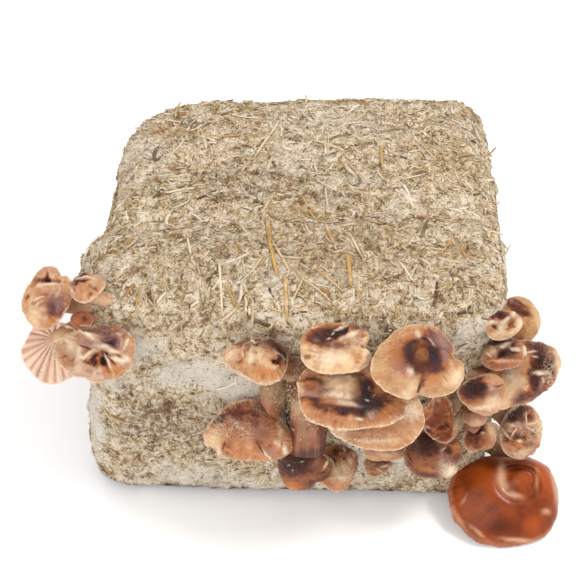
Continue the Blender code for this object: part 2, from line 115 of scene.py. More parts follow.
# A mushroom's values, in mm and degrees, as in the part's source. Turns run anticlockwise from its own right.
#   at, face: middle of the rim; way it looks, as turn from -Y and rise over level
#   half: half width and half length
#   rise, flesh, lip, curl: dome, thickness, hang of the rim, upward bend of the outer part
#   knob, apex, lobes, wave, dents: shape of the middle, its place, the outline and the rim
#   root, stem: where the stem leaves the block; its radius there and under the cap
PLAIN = {
    "rise": 7, "flesh": 6, "lip": 2, "curl": 0, "knob": (), "apex": (0, 0), "lobes": (), "wave": (2, 0, 0),
    "dents": (), "stem": (5, 4), "sink": 0.4, "shoulder": 2.2, "gills": 0,
}
MUSHROOMS = {
    "front_1": {
        "at": (-20, -115, 134), "face": (-14, 72), "half": (17.5, 12), "rise": 10, "flesh": 8, "lip": 5,
        "apex": (0.1, 0.3), "lobes": ((3, 0.1, -62),), "root": (3, -100, 114), "stem": (7, 5),
    },
    "front_2": {
        "at": (21, -120, 148), "face": (0, 68), "half": (19.5, 15), "rise": 3, "flesh": 8, "lip": 6,
        "curl": 3, "lobes": ((4, 0.04, 42),), "wave": (3, 1, 40), "dents": ((6, 0.16, 12),),
        "root": (21, -100, 130), "stem": (6, 5),
    },
    "front_3": {
        "at": (62, -135, 151), "face": (8, 44), "half": (24, 19.5), "rise": 9, "flesh": 8, "lip": 5,
        "knob": (0.24, 2, 1.5), "apex": (0.06, 0.35), "lobes": ((3, 0.07, -35),), "wave": (3, 2, -35),
        "dents": ((-90, 0.14, 9), (8, 0.12, 9), (-145, 0.12, 24)), "root": (66, -100, 128), "stem": (8, 6),
    },
    "front_4": {
        "at": (30, -130, 124), "face": (2, 56), "half": (30, 20), "rise": 6, "flesh": 8, "lip": 4, "curl": 1,
        "knob": (0.24, 3, 2), "apex": (-0.14, 0.3), "lobes": ((4, 0.05, 50),), "wave": (3, 2, 180),
        "dents": ((-125, 0.08, 12),), "root": (30, -100, 118), "stem": (8, 6),
    },
    "front_5": {
        "at": (45, -124, 99), "face": (6, 52), "half": (26.5, 18.5), "rise": 4, "flesh": 5, "lip": 2,
        "lobes": ((3, 0.05, 60),), "wave": (3, 1.5, 0), "root": (47, -100, 92), "stem": (7, 6),
    },
    "front_6": {
        "at": (-26, -119, 79), "face": (-6, 26), "half": (24, 18.5), "rise": 9, "flesh": 8, "lip": 5,
        "apex": (0.25, 0.3), "lobes": ((3, 0.1, 90), (2, 0.04, 0)), "dents": ((-142, 0.08, 10),),
        "root": (-10, -100, 99), "stem": (8, 7), "sink": 0.05,
    },
    "front_7": {
        "at": (5, -128, 59), "face": (0, 24), "half": (16, 12.5), "rise": 6, "flesh": 8, "lip": 5,
        "apex": (0, 0.2), "lobes": ((3, 0.08, -110),), "dents": ((-55, 0.14, 14),),
        "root": (8, -99, 110), "stem": (12, 11),
    },
    "front_8": {
        "at": (24, -112, 42), "face": (22, 34), "half": (14, 14), "rise": 6, "flesh": 6, "lip": 3,
        "lobes": ((3, 0.08, 30),), "root": (20, -100, 50), "stem": (5, 4),
    },
    "front_9": {
        "at": (48, -106, 36), "face": (0, 36), "half": (8, 6.5), "rise": 3, "flesh": 3, "lip": 1,
        "lobes": ((3, 0.12, 10),), "root": (48, -100, 33), "stem": (3, 3),
    },
    "front_10": {
        "at": (52, -110, 58), "face": (4, 38), "half": (13, 9), "rise": 3, "flesh": 4, "lip": 2,
        "lobes": ((3, 0.06, 90),), "root": (52, -100, 58), "stem": (4, 3),
    },
    "front_11": {
        "at": (78, -121, 94), "face": (12, 40), "half": (9, 13), "rise": 1, "flesh": 5, "lip": 2, "curl": 3,
        "lobes": ((3, 0.08, -60),), "root": (87, -99, 88), "stem": (8, 5),
    },
    "front_12": {
        "at": (79, -116, 59), "face": (2, 36), "half": (17, 16), "rise": 10, "flesh": 8, "lip": 6,
        "apex": (-0.15, 0.15), "lobes": ((3, 0.06, -35),), "dents": ((-25, 0.15, 14), (60, 0.12, 12)),
        "root": (90, -99, 78), "stem": (9, 6),
    },
    "right_1": {
        "at": (128, -65, 116), "face": (42, 56), "half": (13.5, 14), "rise": 9, "flesh": 8, "lip": 5,
        "lobes": ((2, 0.05, 30),), "root": (115, -62, 106), "stem": (6, 5),
    },
    "right_2": {
        "at": (110, -98, 144), "face": (14, 60), "half": (10.5, 8.5), "rise": 4, "flesh": 6, "lip": 4,
        "curl": 1.5, "lobes": ((3, 0.06, 0),), "root": (104, -90, 132), "stem": (6, 5),
    },
    "right_3": {
        "at": (113, -103, 127), "face": (18, 54), "half": (13, 9), "rise": 5, "flesh": 6, "lip": 4,
        "lobes": ((3, 0.06, 80),), "dents": ((-35, 0.12, 14),), "root": (104, -94, 118), "stem": (6, 5),
    },
    "right_4": {
        "at": (121, -98, 106), "face": (18, 42), "half": (29, 18.5), "rise": 7, "flesh": 8, "lip": 6,
        "knob": (0.3, 3, 3), "apex": (0.12, -0.05), "lobes": ((3, 0.04, 20),), "wave": (2, 1, 0),
        "root": (113, -78, 98), "stem": (9, 8),
    },
    "right_5": {
        "at": (101, -121, 114), "face": (4, 42), "half": (13, 11), "rise": 6, "flesh": 6, "lip": 4,
        "lobes": ((3, 0.08, -70),), "root": (94, -99, 98), "stem": (7, 5),
    },
    "right_6": {
        "at": (100, -111, 84), "face": (-10, 40), "half": (6.5, 5.5), "rise": 4, "flesh": 5, "lip": 2,
        "lobes": ((2, 0.05, 0),), "root": (95, -98, 84), "stem": (5, 4),
    },
    "right_7": {
        "at": (105, -110, 68), "face": (18, 34), "half": (10, 10.5), "rise": 5, "flesh": 5, "lip": 3,
        "lobes": ((3, 0.08, -40),), "root": (97, -98, 74), "stem": (7, 5),
    },
    "right_8": {
        "at": (132, -97, 55), "face": (24, 30), "half": (14, 16.5), "rise": 8, "flesh": 8, "lip": 5,
        "lobes": ((2, 0.05, 60),), "root": (115, -78, 62), "stem": (8, 6),
    },
    "foot": {
        "at": (124, -115, 16.4), "face": (4, 62), "half": (34, 28), "rise": 13, "flesh": 10, "lip": 5,
        "knob": (0.2, 1.5, 2.5), "apex": (0.33, 0.42), "lobes": ((3, 0.02, -90), (4, 0.035, 45)),
        "dents": ((-142, 0.05, 8),), "root": (115, -70, 24), "stem": (8, 7), "shoulder": 3.2,
    },
    "left_1": {
        "at": (-131, -92, 158), "face": (-14, 44), "half": (13.5, 16.5), "rise": 5, "flesh": 6, "lip": 3,
        "curl": 2, "apex": (0.3, -0.1), "lobes": ((2, 0.04, 60),), "wave": (3, 2, 90),
        "dents": ((62, 0.16, 12),), "root": (-104, -84, 144),
    },
    "left_2": {
        "at": (-110, -92, 166), "face": (-24, 76), "half": (9.5, 9), "rise": 4, "flesh": 5, "lip": 3,
        "lobes": ((3, 0.08, 30),), "wave": (3, 1, 0), "root": (-98, -86, 150), "stem": (4, 4),
    },
    "left_3": {
        "at": (-132, -97, 122), "face": (-168, -36), "half": (16.5, 17.5), "rise": 5, "flesh": 4, "lip": 2,
        "apex": (-0.1, 0.4), "lobes": ((5, 0.04, 0),), "wave": (5, 1, 0),
        "root": (-112, -76, 126), "stem": (4, 4), "gills": 19,
    },
    "left_4": {
        "at": (-105, -114, 138), "face": (4, 50), "half": (21.5, 15), "rise": 6, "flesh": 8, "lip": 5,
        "apex": (0.15, 0.25), "lobes": ((3, 0.06, 50),), "wave": (3, 1, 10),
        "dents": ((-72, 0.1, 9), (-108, 0.1, 9)), "root": (-94, -91, 130), "stem": (7, 5),
    },
    "left_5": {
        "at": (-113, -101, 150), "face": (-10, 60), "half": (6, 5), "rise": 4, "flesh": 4, "lip": 1,
        "root": (-104, -88, 142), "stem": (3, 3),
    },
}
MUSHROOMS = {name: {**PLAIN, **values} for name, values in MUSHROOMS.items()}

# Skin of each cap: its colour, how freckled it is, the height of its folds in mm, and its marks by tint.
# A mark is (place across and down in the photograph, half length and half width in its pixels, turn in
# degrees, strength, relief in mm, bow of the ends in pixels where there is one).
# Some small pale marks are painted glints, and the foot cap's pale strokes round its knob are a painted
# highlight.
CAP_SKINS = {
    "front_1": ((206, 158, 114), 0.2, 0.9, {
        "wine": ((258, 343, 26, 5, -4, 1, 0.4, -5), (282, 357, 9, 11, 0, 0.8, 0),
                 (232, 350, 5, 3, 30, 0.6, 0)),
        "dark": ((276, 348, 12, 4, -38, 0.95, 0.3), (275, 362, 5, 2, -30, 0.9, -0.8)),
        "brown": ((245, 354, 7, 1.1, 100, 0.8, -0.7), (278, 357, 4, 1.2, -40, 0.8, -0.5)),
        "orange": ((243, 360, 2, 4, 0, 0.8, 0), (262, 371, 10, 5, -10, 0.8, 0.2),
                   (274, 376, 6, 4, -20, 1, 0.2)),
        "cream": ((257, 355, 10, 9, 0, 0.9, 1), (231, 355, 6, 8, 0, 0.9, 0.3)),
        # the short pale stroke at (254, 343) is a painted glint
        "pale": ((251, 357, 3, 6, 15, 0.9, 0.8), (254, 343, 3, 1, 0, 1, 0.3),
                 (227, 357, 3, 5, 10, 0.7, 0.3)),
    }),
    "front_2": ((232, 198, 158), 0.1, 0.7, {
        "wine": ((326, 334, 19, 9, 8, 1, -0.8),),
        # the dark stroke at (338, 332) is painted shadow inside a curled fold
        "dark": ((319, 338, 9, 6, 0, 0.95, -0.5), (338, 332, 10, 4, 30, 1, -1.2),
                 (357, 363, 2.5, 2, 0, 0.4, 0)),
        "brown": ((330, 335, 27, 13, 5, 0.55, 0), (358, 327, 9, 4, -20, 0.8, 0),
                  # the brown stroke at (336, 346) is painted shade under the pale ridge
                  (336, 346, 12, 3, 5, 0.7, -0.4), (314, 352, 7, 0.8, -15, 0.4, -0.3)),
        "mauve": ((316, 340, 3.5, 3, 0, 0.5, 0), (357, 341, 6, 5, 0, 0.7, 0.4),
                  # the mauve stroke at (340, 348) is painted shade under the pale ridge
                  (340, 348, 10, 3, 0, 0.6, 0)),
        "orange": ((357, 358, 6, 5, 20, 1, 0.3), (335, 324, 12, 2, 10, 0.5, 0),
                   (303, 338, 2, 9, 10, 0.3, 0)),
        # the small pale strokes at (341, 327), (329, 338) and (333, 332) are painted glints
        "pale": ((341, 327, 6, 1, 15, 1, 0.8), (329, 338, 2, 1, 20, 0.7, 0.2),
                 (333, 332, 2, 0.8, 45, 0.6, 0.2), (351, 335, 9, 2.8, 30, 1, 1.5),
                 (342, 338, 4, 2.5, 40, 0.8, 0.5), (332, 358, 18, 7, 0, 0.8, 0.4),
                 (366, 352, 3, 8, -10, 0.6, 0.3)),
    }),
    "front_3": ((204, 162, 120), 0.05, 0.2, {
        "brown": ((421, 354, 26, 24, 0, 0.95, -0.3), (441, 343, 18, 11, -40, 0.85, 0),
                  (445, 378, 6, 0.8, -55, 0.6, -0.4), (448, 374, 5, 0.8, -35, 0.6, -0.4),
                  (400, 360, 18, 14, -20, 0.35, 0), (440, 383, 4, 0.8, -65, 0.5, -0.3),
                  # the brown stroke at (374, 352) is painted shade along the left edge, where front_2 meets it
                  (449, 352, 7, 1, -65, 0.6, -0.4), (374, 352, 4, 8, 0, 0.35, 0)),
        "wine": ((423, 354, 15, 13, 0, 0.75, -0.2), (424, 368, 13, 5, 2, 0.95, -0.2),
                 (438, 370, 9, 4, 15, 0.8, 0), (423, 380, 4, 7, 0, 0.7, -0.2)),
        "ink": ((409, 353, 12, 5, 95, 1, -0.6, -3), (436, 357, 12, 6, 92, 1, -0.8, 1)),
        "dark": ((415, 343, 4, 2.5, 30, 0.9, -0.4), (425, 339, 7, 1.2, -20, 0.8, -0.5, -1),
                 (434, 335, 7, 2.2, -40, 0.7, -0.3), (419, 391, 8, 1.2, 80, 1, -1.4)),
        "gold": ((420, 351, 4, 7, 12, 0.35, 0.5),),
        "orange": ((421, 353, 7, 9, 20, 0.5, 0.2), (434, 381, 8, 6, 0, 0.6, 0),
                   (396, 356, 8, 10, 0, 0.5, 0), (409, 336, 7, 3, 10, 0.5, 0)),
        "mauve": ((399, 368, 7, 8, -20, 0.4, 0), (408, 376, 5, 4, 0, 0.5, 0),
                  (443, 342, 11, 6, -45, 0.95, 0.2), (445, 354, 4, 8, 10, 0.8, 0)),
        "cream": ((412, 387, 6, 9, -15, 0.65, 0.8), (454, 379, 8, 9, -20, 0.65, 0.6)),
        "pale": ((410, 371, 3, 5, 20, 0.7, 0.3), (407, 396, 6, 4, -30, 0.7, 0.3),
                 (457, 376, 4, 7, -20, 0.6, 0.2), (432, 342, 5, 1, -50, 0.8, 0.6),
                 (418, 334, 3, 4, 10, 0.7, 0.4)),
    }),
    "front_4": ((190, 136, 100), 0.1, 0.5, {
        "brown": ((340, 398, 8, 1, 5, 0.7, -0.6), (358, 381, 6, 12, 0, 0.7, 0),
                  (384, 400, 18, 14, 30, 0.85, 0), (312, 384, 14, 7, 0, 0.6, 0),
                  (352, 413, 30, 5, -5, 0.8, 0)),
        "wine": ((372, 400, 14, 7, -30, 0.9, -0.4), (362, 409, 16, 6, 5, 0.95, 0),
                 (319, 405, 18, 4.5, -12, 1, -0.4), (311, 378, 10, 2, 5, 0.9, -0.6, -1),
                 (309, 399, 10, 4, 0, 0.9, -0.3)),
        "ink": ((366, 388, 15, 6, 102, 0.95, -0.5), (362, 400, 10, 6, -10, 0.9, -0.4)),
        "dark": ((347, 409, 17, 3, -10, 1, -0.5), (343, 413, 5, 2.5, 0, 1, -0.6),
                 (311, 398.5, 13, 2, -5, 0.95, -0.6), (321, 381, 4, 3, -40, 0.9, -0.8)),
        "orange": ((351, 417, 4, 3, 0, 1, 0.3), (388, 411, 12, 4.5, 32, 0.9, 0.2),
                   (306, 403, 5, 4.5, 0, 1, 0.8), (327, 374, 5, 6, -20, 0.6, 0),
                   (308, 384, 7, 4, 0, 0.3, 0.8)),
        "gold": ((390, 412, 6, 2.5, 35, 0.4, 0), (326, 401, 10, 2.5, -20, 0.5, 0.3)),
        "mauve": ((314, 394, 13, 3, -3, 1, 0.4), (373, 414, 5, 6, -10, 0.7, 0.3),
                  (322, 388, 8, 4, -10, 0.6, 0.3)),
        "cream": ((341, 382, 15, 13, 0, 1, 0.6), (371, 416, 5, 4, 0, 0.5, 0), (300, 389, 4, 6, 0, 0.6, 0)),
        "pale": ((339, 395, 13, 4, -5, 1, 0.8), (347, 403, 12, 2.5, -10, 0.8, 0.6),
                 # the small pale strokes at (367, 399), (369, 388) and (374, 395) are painted glints
                 (367, 399, 2, 1, -30, 0.7, 0.2), (369, 388, 2, 0.8, 100, 0.5, 0.2),
                 (374, 395, 2, 0.8, 40, 0.5, 0.2), (360, 419, 4, 1.5, -10, 0.7, 0.2)),
    }),
    "front_5": ((212, 166, 128), 0.6, 0.2, {
        "brown": ((348, 428, 9, 1, 87, 0.4, -0.3), (378, 424, 8, 3, 10, 0.35, 0),
                  (393, 419.5, 4, 1, -10, 0.8, -0.5)),
        "orange": ((377, 426, 16, 6, 5, 0.4, 0),),
        "mauve": ((398, 413, 5, 4, 20, 0.5, 0),),
        "pale": ((341, 425, 16, 6, 92, 0.6, 0.2), (413, 411, 12, 9, 30, 0.85, 0),
                 (372, 441, 26, 2, 0, 0.5, 0, 2)),
    }),
    "front_6": ((204, 146, 106), 0.15, 0.45, {
        "wine": ((242, 411, 36, 8, 10, 0.85, 0, -4), (262, 402, 16, 7, 0, 0.8, 0)),
        "brown": ((247, 424, 38, 17, 3, 0.75, 0), (241, 455, 6, 0.8, 90, 0.5, -0.3),
                  (246, 456, 6, 0.8, 90, 0.5, -0.3), (255, 456, 5, 0.8, 90, 0.4, -0.3),
                  (269, 446, 5, 1.5, 15, 0.7, -0.6)),
        "dark": ((223, 447, 6, 0.9, 75, 0.6, -1.2), (261, 449, 6, 1.2, -55, 0.9, -0.8)),
        "ink": ((259, 443, 5, 3, -20, 0.5, 0),),
        "crackle": ((234, 430, 24, 11, -6, 1, 0),),
        "orange": ((245, 454, 20, 9, 5, 0.5, 0.3), (277, 454, 4, 3, 0, 0.6, 0),
                   (250, 406, 8, 3, 20, 0.6, 0)),
        "mauve": ((261, 431, 8, 10, -30, 0.6, 0), (270, 452, 7, 4, -35, 0.7, 0.6)),
        "cream": ((213, 440, 14, 8, 80, 0.85, 0.3), (242, 464, 24, 3, 6, 0.8, 0.3),
                  (277, 444, 3, 5, 20, 0.8, 0.5), (280, 430, 14, 3.5, 93, 0.7, 0)),
        "gold": ((233, 456, 6, 1, 95, 0.6, 0.3), (226, 455, 6, 1, 95, 0.5, 0.2)),
        "pale": ((205, 443, 8, 2, 90, 0.8, 0), (219, 453, 7, 2, 102, 1, 1.2),
                 (250, 459, 4, 0.8, 90, 0.5, 0.2), (268, 455, 7, 1.2, -50, 0.9, 0.9),
                 (280, 462, 5, 2, 10, 1, 0.5), (285, 450, 8, 2.5, 100, 0.9, 0.3)),
    }),
    "front_7": ((112, 56, 42), 0, 0.1, {
        "dark": ((296, 466, 27, 13, 5, 1, 0.3), (306, 456, 28, 7, 10, 1, 0.4)),
        "wine": ((322, 473, 8, 2, 25, 0.8, -0.5),),
        "orange": ((291, 487, 13, 5, 0, 1, 0.6), (316, 463, 8, 5, 30, 0.35, 0)),
        "mauve": ((275, 466, 5, 2, 90, 0.7, 0), (318, 460, 9, 2, 55, 0.6, 0)),
        # the pale strokes at (289, 465), (293, 470), (302, 462) and (326, 464) are painted glints and a
        # painted highlight
        "pale": ((289, 465, 1.5, 0.7, 30, 0.5, 0.1), (293, 470, 1.2, 0.8, 80, 0.4, 0.1),
                 (302, 462, 2, 0.7, 10, 0.5, 0.1), (326, 464, 6, 1.2, 62, 0.9, 0.3),
                 (276, 479, 8, 2, 95, 1, 0.2)),
    }),
    "front_8": ((204, 146, 104), 0.5, 0.6, {
        "wine": ((345, 450, 12, 6, -10, 0.75, 0),),
        "dark": ((333, 462, 12, 3, 80, 0.7, 0),),
        "crackle": ((346, 463, 9, 6, 30, 0.8, 0),),
        "orange": ((324, 480, 6, 4, 0, 0.7, 0.2), (335, 474, 6, 5, 30, 0.4, 0)),
        "cream": ((341, 471, 12, 7, 35, 0.9, 0.2),),
        "pale": ((345, 478, 8, 3, 20, 0.7, 0),),
    }),
    "front_9": ((196, 156, 116), 0.4, 0.4, {
        "dark": ((375, 457, 6, 3, -10, 1, -1), (383, 459, 4, 2.5, -30, 0.9, -0.8)),
        "brown": ((376, 466, 4, 1, 60, 0.7, -0.6),),
        "gold": ((372, 468, 5, 5, 0, 0.5, 0),),
        "pale": ((384, 466, 5, 1, 20, 0.9, 0.8), (379, 470, 5, 1, -30, 0.7, 0.6),
                 (390, 468, 3, 2, 70, 0.8, 0.3)),
    }),
    "front_10": ((208, 162, 126), 0.2, 0.2, {
        "brown": ((395, 446, 7, 4, 20, 0.5, 0),),
        "mauve": ((372, 452, 5, 3, 0, 0.5, 0),),
        "cream": ((385, 455, 8, 2, -15, 0.6, 0),),
    }),
    "front_11": ((132, 66, 40), 0.1, 0.6, {
        "wine": ((442, 408, 10, 6, 105, 0.5, 0), (443, 428, 9, 4, 20, 0.9, -0.3)),
        "dark": ((428, 431, 6, 4, -20, 0.9, -0.5),),
        "orange": ((428, 408, 9, 4, 90, 0.6, 0.2), (449, 418, 9, 2, 100, 0.7, 0)),
        "mauve": ((433, 404, 9, 1.5, 85, 0.8, 0.6), (424, 430, 4, 2, 60, 0.6, 0.5)),
        "pale": ((430, 439, 7, 1, -10, 0.8, 0.3, 2),),
    }),
    "front_12": ((112, 60, 46), 0, 0.2, {
        "dark": ((426, 445, 20, 17, 0, 0.85, 0.2), (450, 450, 6, 5, 0, 1, -1.2),
                 (411, 460, 7, 1, -62, 0.8, -0.2)),
        "wine": ((451, 462, 6, 1, 78, 0.9, -1),),
        "orange": ((428, 470, 12, 3, -5, 0.8, 0), (458, 446, 5, 6, 0, 0.9, 0.2)),
        "mauve": ((416, 444, 4, 10, 10, 0.35, 0), (441, 455, 7, 3, 80, 0.9, 0.8),
                  (446, 459, 4, 3, 0, 0.5, 0)),
        "cream": ((444, 440, 6, 3, 10, 0.7, 0.4), (441, 464, 5, 4, 20, 0.6, 0.2)),
        "pale": ((444, 449, 3, 1, 30, 0.9, 0.6), (450, 472, 9, 8, 0, 0.95, 0.4)),
    }),
    "right_1": ((222, 178, 128), 0.1, 0.25, {
        "wine": ((515, 307, 13, 4.5, -30, 1, 0), (524, 314, 8, 3, -20, 0.9, 0)),
        "dark": ((519, 303, 9, 2, -32, 0.7, 0),),
        "orange": ((528, 321, 8, 3, -20, 0.5, 0),),
        "gold": ((530, 331, 10, 6, -30, 0.3, 0),),
        "cream": ((541, 326, 10, 4, 120, 0.8, 0),),
    }),
    "right_2": ((218, 184, 146), 0.05, 0.6, {
        "dark": ((500, 315, 12, 4.5, 0, 1, -0.3, -2), (495, 327, 4, 1.5, -35, 0.9, -1, -1)),
        "wine": ((491, 316, 5, 3, 30, 0.8, 0), (511, 325, 4, 3.5, 50, 0.8, -0.8)),
        "brown": ((493, 330, 5, 3, 0, 0.5, 0), (508, 330, 5, 3, 0, 0.4, 0)),
        "pale": ((513, 315, 3, 3, -40, 1, 1.2), (492, 322, 6, 2, 5, 1, 0.8, -1.5),
                 (505, 321, 6, 2, 40, 1, 1.2), (519, 324, 6, 2, 90, 0.9, 0.5),
                 (500, 329, 5, 3, 110, 0.7, 0.4)),
    }),
    "right_3": ((178, 114, 80), 0.1, 0.7, {
        "dark": ((489, 341, 9, 5.5, 0, 1, -0.3), (506, 354, 11, 4.5, -8, 1, -1)),
        "wine": ((504, 342, 18, 6, 0, 0.95, 0.2), (512, 350, 6, 2, -15, 0.8, -0.3)),
        "brown": ((500, 346, 24, 11, 0, 0.7, 0),),
        "gold": ((514, 357, 8, 3, 5, 0.4, 0),),
        "cream": ((492, 350, 5, 5, 10, 0.8, 0.5), (478, 355, 4, 3, 0, 0.5, 0.3),
                  (505, 361, 14, 1.5, 0, 0.6, 0)),
        "pale": ((503, 346, 7, 1.8, 12, 0.9, 0.5, 1), (507, 337, 6, 1.4, 5, 0.8, 0.4),
                 (516, 349, 6, 1.8, -20, 0.9, 0.5), (525, 351, 8, 2.5, 100, 1, 0.5),
                 (488, 354, 4, 1.2, -40, 0.9, 0.8)),
    }),
    "right_4": ((220, 182, 146), 0.05, 0.4, {
        "brown": ((475, 366, 9, 5, -15, 0.7, 0), (485, 380, 8, 3, -40, 0.35, 0),
                  (548, 372, 32, 12, 97, 0.85, 0.6), (517, 393, 8, 4, 60, 0.6, 0)),
        "wine": ((499, 377, 3, 2, -30, 0.6, -0.2), (498, 385, 6, 1.4, 15, 0.9, -0.8, 1),
                 (533, 345, 14, 7, -5, 0.95, 0.4), (546, 358, 12, 6, -60, 0.9, 0.3),
                 (538, 400, 9, 4, -10, 0.8, -0.3)),
        "dark": ((538, 362, 14, 7, 100, 0.85, -1.2), (536, 383, 17, 7, 105, 0.85, -1.4),
                 (522, 399, 12, 6, 35, 0.8, -1)),
        "crackle": ((550, 374, 28, 6, 95, 1, 0),),
        "orange": ((499, 375, 6, 4.5, -15, 0.85, 0.5), (526, 368, 14, 2.5, 95, 0.4, -0.2),
                   (549, 400, 11, 4, 10, 0.95, 0.3)),
        "mauve": ((541, 385, 6, 2, 90, 0.6, 0.8), (514, 372, 18, 8, 95, 0.35, 0)),
        "cream": ((561, 373, 27, 4, 98, 0.95, 0), (512, 384, 14, 9, 80, 0.6, 0)),
        "pale": ((480, 361, 14, 1, -12, 0.8, 0.5, -1), (495, 366, 3.5, 2, 100, 0.8, 0.4),
                 (499, 387, 4, 1, 25, 0.8, 0.4), (540, 373, 6, 2.2, 0, 1, 1.5),
                 (543, 380, 4, 1.5, 90, 0.6, 0.4), (531, 352, 5, 1, 12, 1, 0.8),
                 (535, 357, 3, 1, -20, 0.9, 0.6), (509, 373, 12, 5, 100, 0.5, 0.3)),
    }),
    "right_5": ((208, 160, 126), 0.1, 0.4, {
        "dark": ((471, 383, 16, 11, 70, 0.95, -0.3), (476, 392, 13, 9, 0, 1, -0.3)),
        "wine": ((479, 398, 7, 3, -10, 0.8, 0), (499, 386, 5, 1.2, 10, 0.9, -0.6, 1)),
        "ink": ((482, 386, 7, 3, -25, 0.9, -0.5),),
        "orange": ((478, 401, 5, 4, 0, 0.7, 0), (471, 404, 5, 2.5, 20, 0.7, 0),
                   (505, 387, 6, 3, 100, 0.5, 0)),
        "mauve": ((493, 391, 6, 5, 10, 0.8, 0.3),),
        "cream": ((493, 402, 10, 6, 15, 0.9, 0.3),),
        "pale": ((492, 389, 3, 2, 0, 0.5, 0.2), (482, 407, 14, 2, 5, 0.8, 0.2, 1)),
    }),
    "right_6": ((208, 160, 134), 0.1, 0.15, {
        "brown": ((470, 411, 5, 3, 0, 0.5, 0),),
        "cream": ((474, 423, 8, 3, 0, 0.5, 0),),
    }),
    "right_7": ((190, 136, 108), 0.1, 0.5, {
        "dark": ((476, 430, 10, 6, 15, 1, -1.2),),
        "wine": ((476, 441, 13, 8, 10, 0.85, 0),),
        "orange": ((485, 440, 6, 4, 60, 0.4, 0),),
        "cream": ((492, 430, 10, 4, 105, 0.8, 0.3),),
        "pale": ((483, 433, 2, 1, 20, 0.9, 0.5),),
    }),
    "right_8": ((200, 150, 118), 0.2, 0.9, {
        "dark": ((515, 409, 17, 8, 5, 1, -0.4), (512, 418, 11, 5, 0, 0.9, -0.5),
                 (515, 445, 4, 3, 0, 0.7, 0)),
        "brown": ((520, 428, 16, 14, -5, 0.65, 0), (533, 417, 5, 3, 20, 0.6, -0.4),
                  (509, 432, 4, 4, 0, 0.5, 0)),
        "wine": ((518, 437, 8, 5, 20, 0.85, 0), (527, 446, 7, 3, 30, 0.8, 0)),
        "crackle": ((529, 433, 10, 10, 0, 1, 0),),
        "orange": ((519, 444, 6, 4.5, 0, 1, 0.2), (508, 446, 6, 5, 0, 0.3, 0)),
        "mauve": ((522, 425, 6, 3, 0, 0.6, 0),),
        "cream": ((541, 425, 16, 5, 93, 0.95, 0), (522, 454, 9, 5, 30, 0.85, 0)),
        "gold": ((536, 438, 3, 3, 0, 0.6, 0),),
        "pale": ((526, 418, 6, 1, 88, 0.9, 0.8), (533, 423, 7, 1, 15, 0.9, 0.7),
                 (532, 430, 6, 1, -30, 0.9, 0.7), (504, 431, 8, 1, -52, 0.9, 0.8),
                 (514, 432, 7, 1, 60, 0.8, 0.7), (512, 425, 6, 1, -20, 0.7, 0.5),
                 (508, 437, 5, 1, -40, 0.8, 0.6), (519, 441.5, 3.5, 1, -8, 0.9, 0.7)),
    }),
    "left_1": ((214, 168, 132), 0.15, 0.8, {
        "wine": ((57, 305, 11, 12, 0, 0.9, 0), (56, 315, 9, 3, -10, 0.6, 0),
                 (46, 280, 14, 2.6, -4, 0.95, -1, -2), (63, 272, 6, 1, -55, 0.8, -0.8)),
        "brown": ((39, 301, 5, 0.8, 32, 0.8, -0.6), (41, 305, 4, 0.8, 40, 0.7, -0.5),
                  (33, 287, 4, 4, 0, 0.5, -0.5)),
        "mauve": ((56, 301, 12, 13, -20, 0.65, -0.4), (55, 271, 10, 4, -15, 0.5, 0.3),
                  (73, 269, 6, 4, 0, 0.4, 0.3)),
        "orange": ((33, 285, 4, 3, 0, 0.9, -0.3), (46, 296, 4, 6, -40, 0.7, 0), (53, 322, 6, 6, 0, 0.6, 0),
                   (72, 305, 12, 5, 90, 0.9, 0), (58, 274, 8, 2, -40, 0.5, -0.3)),
        "cream": ((35, 315, 12, 8, 100, 0.8, 0),),
        "pale": ((47, 284.5, 15, 1.4, 8, 0.9, 0.8, -1.5), (39, 298, 6, 1, 25, 0.9, 0.7),
                 (38, 303, 5, 1, 40, 0.9, 0.7)),
    }),
    "left_2": ((218, 172, 138), 0.1, 0.8, {
        "dark": ((81, 274, 7, 3, 10, 1, -1.2, -1), (82, 280, 7, 1, 0, 0.9, -0.7)),
        "brown": ((74, 290, 4, 1, 80, 0.7, -0.6), (81, 286, 6, 2, 90, 0.5, -0.3)),
        "orange": ((85, 288, 7, 6, 0, 0.5, 0.4),),
        "gold": ((77, 275, 4, 1.5, 30, 0.6, 0),),
        "mauve": ((70, 284, 6, 4, 90, 0.7, 0.2),),
        "cream": ((94, 283, 6, 3, 70, 0.6, 0.2),),
        "pale": ((84, 277.5, 9, 1, -3, 0.9, 0.8, -1), (71, 288, 6, 1, -60, 0.7, 0.5)),
    }),
    "left_3": ((244, 196, 166), 0.05, 0.2, {
    }),
    "left_4": ((196, 160, 136), 0.1, 0.8, {
        "wine": ((108, 331, 14, 4, -14, 0.7, 0), (110, 326, 16, 3, -12, 0.85, 0.3, -1),
                 (85, 341, 8, 3, -25, 0.4, -0.4), (86, 362, 8, 1.6, -25, 0.8, -0.8),
                 (119, 356, 4, 2.2, -30, 0.9, -0.6), (73, 360, 3.5, 1.2, 10, 0.7, -0.4),
                 (60, 331, 7, 1, 60, 0.7, -0.5), (66, 330, 6, 1, 55, 0.6, -0.5),
                 (62, 335, 2, 1.5, 0, 0.9, -0.5)),
        "ink": ((95, 331, 9, 2.6, -10, 0.8, -0.6), (113, 341, 7, 6, -35, 1, -0.8)),
        "dark": ((112, 344, 6, 3, -45, 0.8, -0.4), (84, 331, 6, 1.2, -25, 0.8, -0.8),
                 (85, 347, 10, 1, -22, 0.8, -0.8, -1.5), (107, 341.5, 8, 1.2, -12, 0.9, -1),
                 (95, 357, 5, 2.4, 40, 1, -1.6), (94, 363, 6, 3, -15, 1, -1.5),
                 (103, 361, 5, 4, 100, 1, -1.6), (107, 355, 7, 2, -30, 1, -1.2),
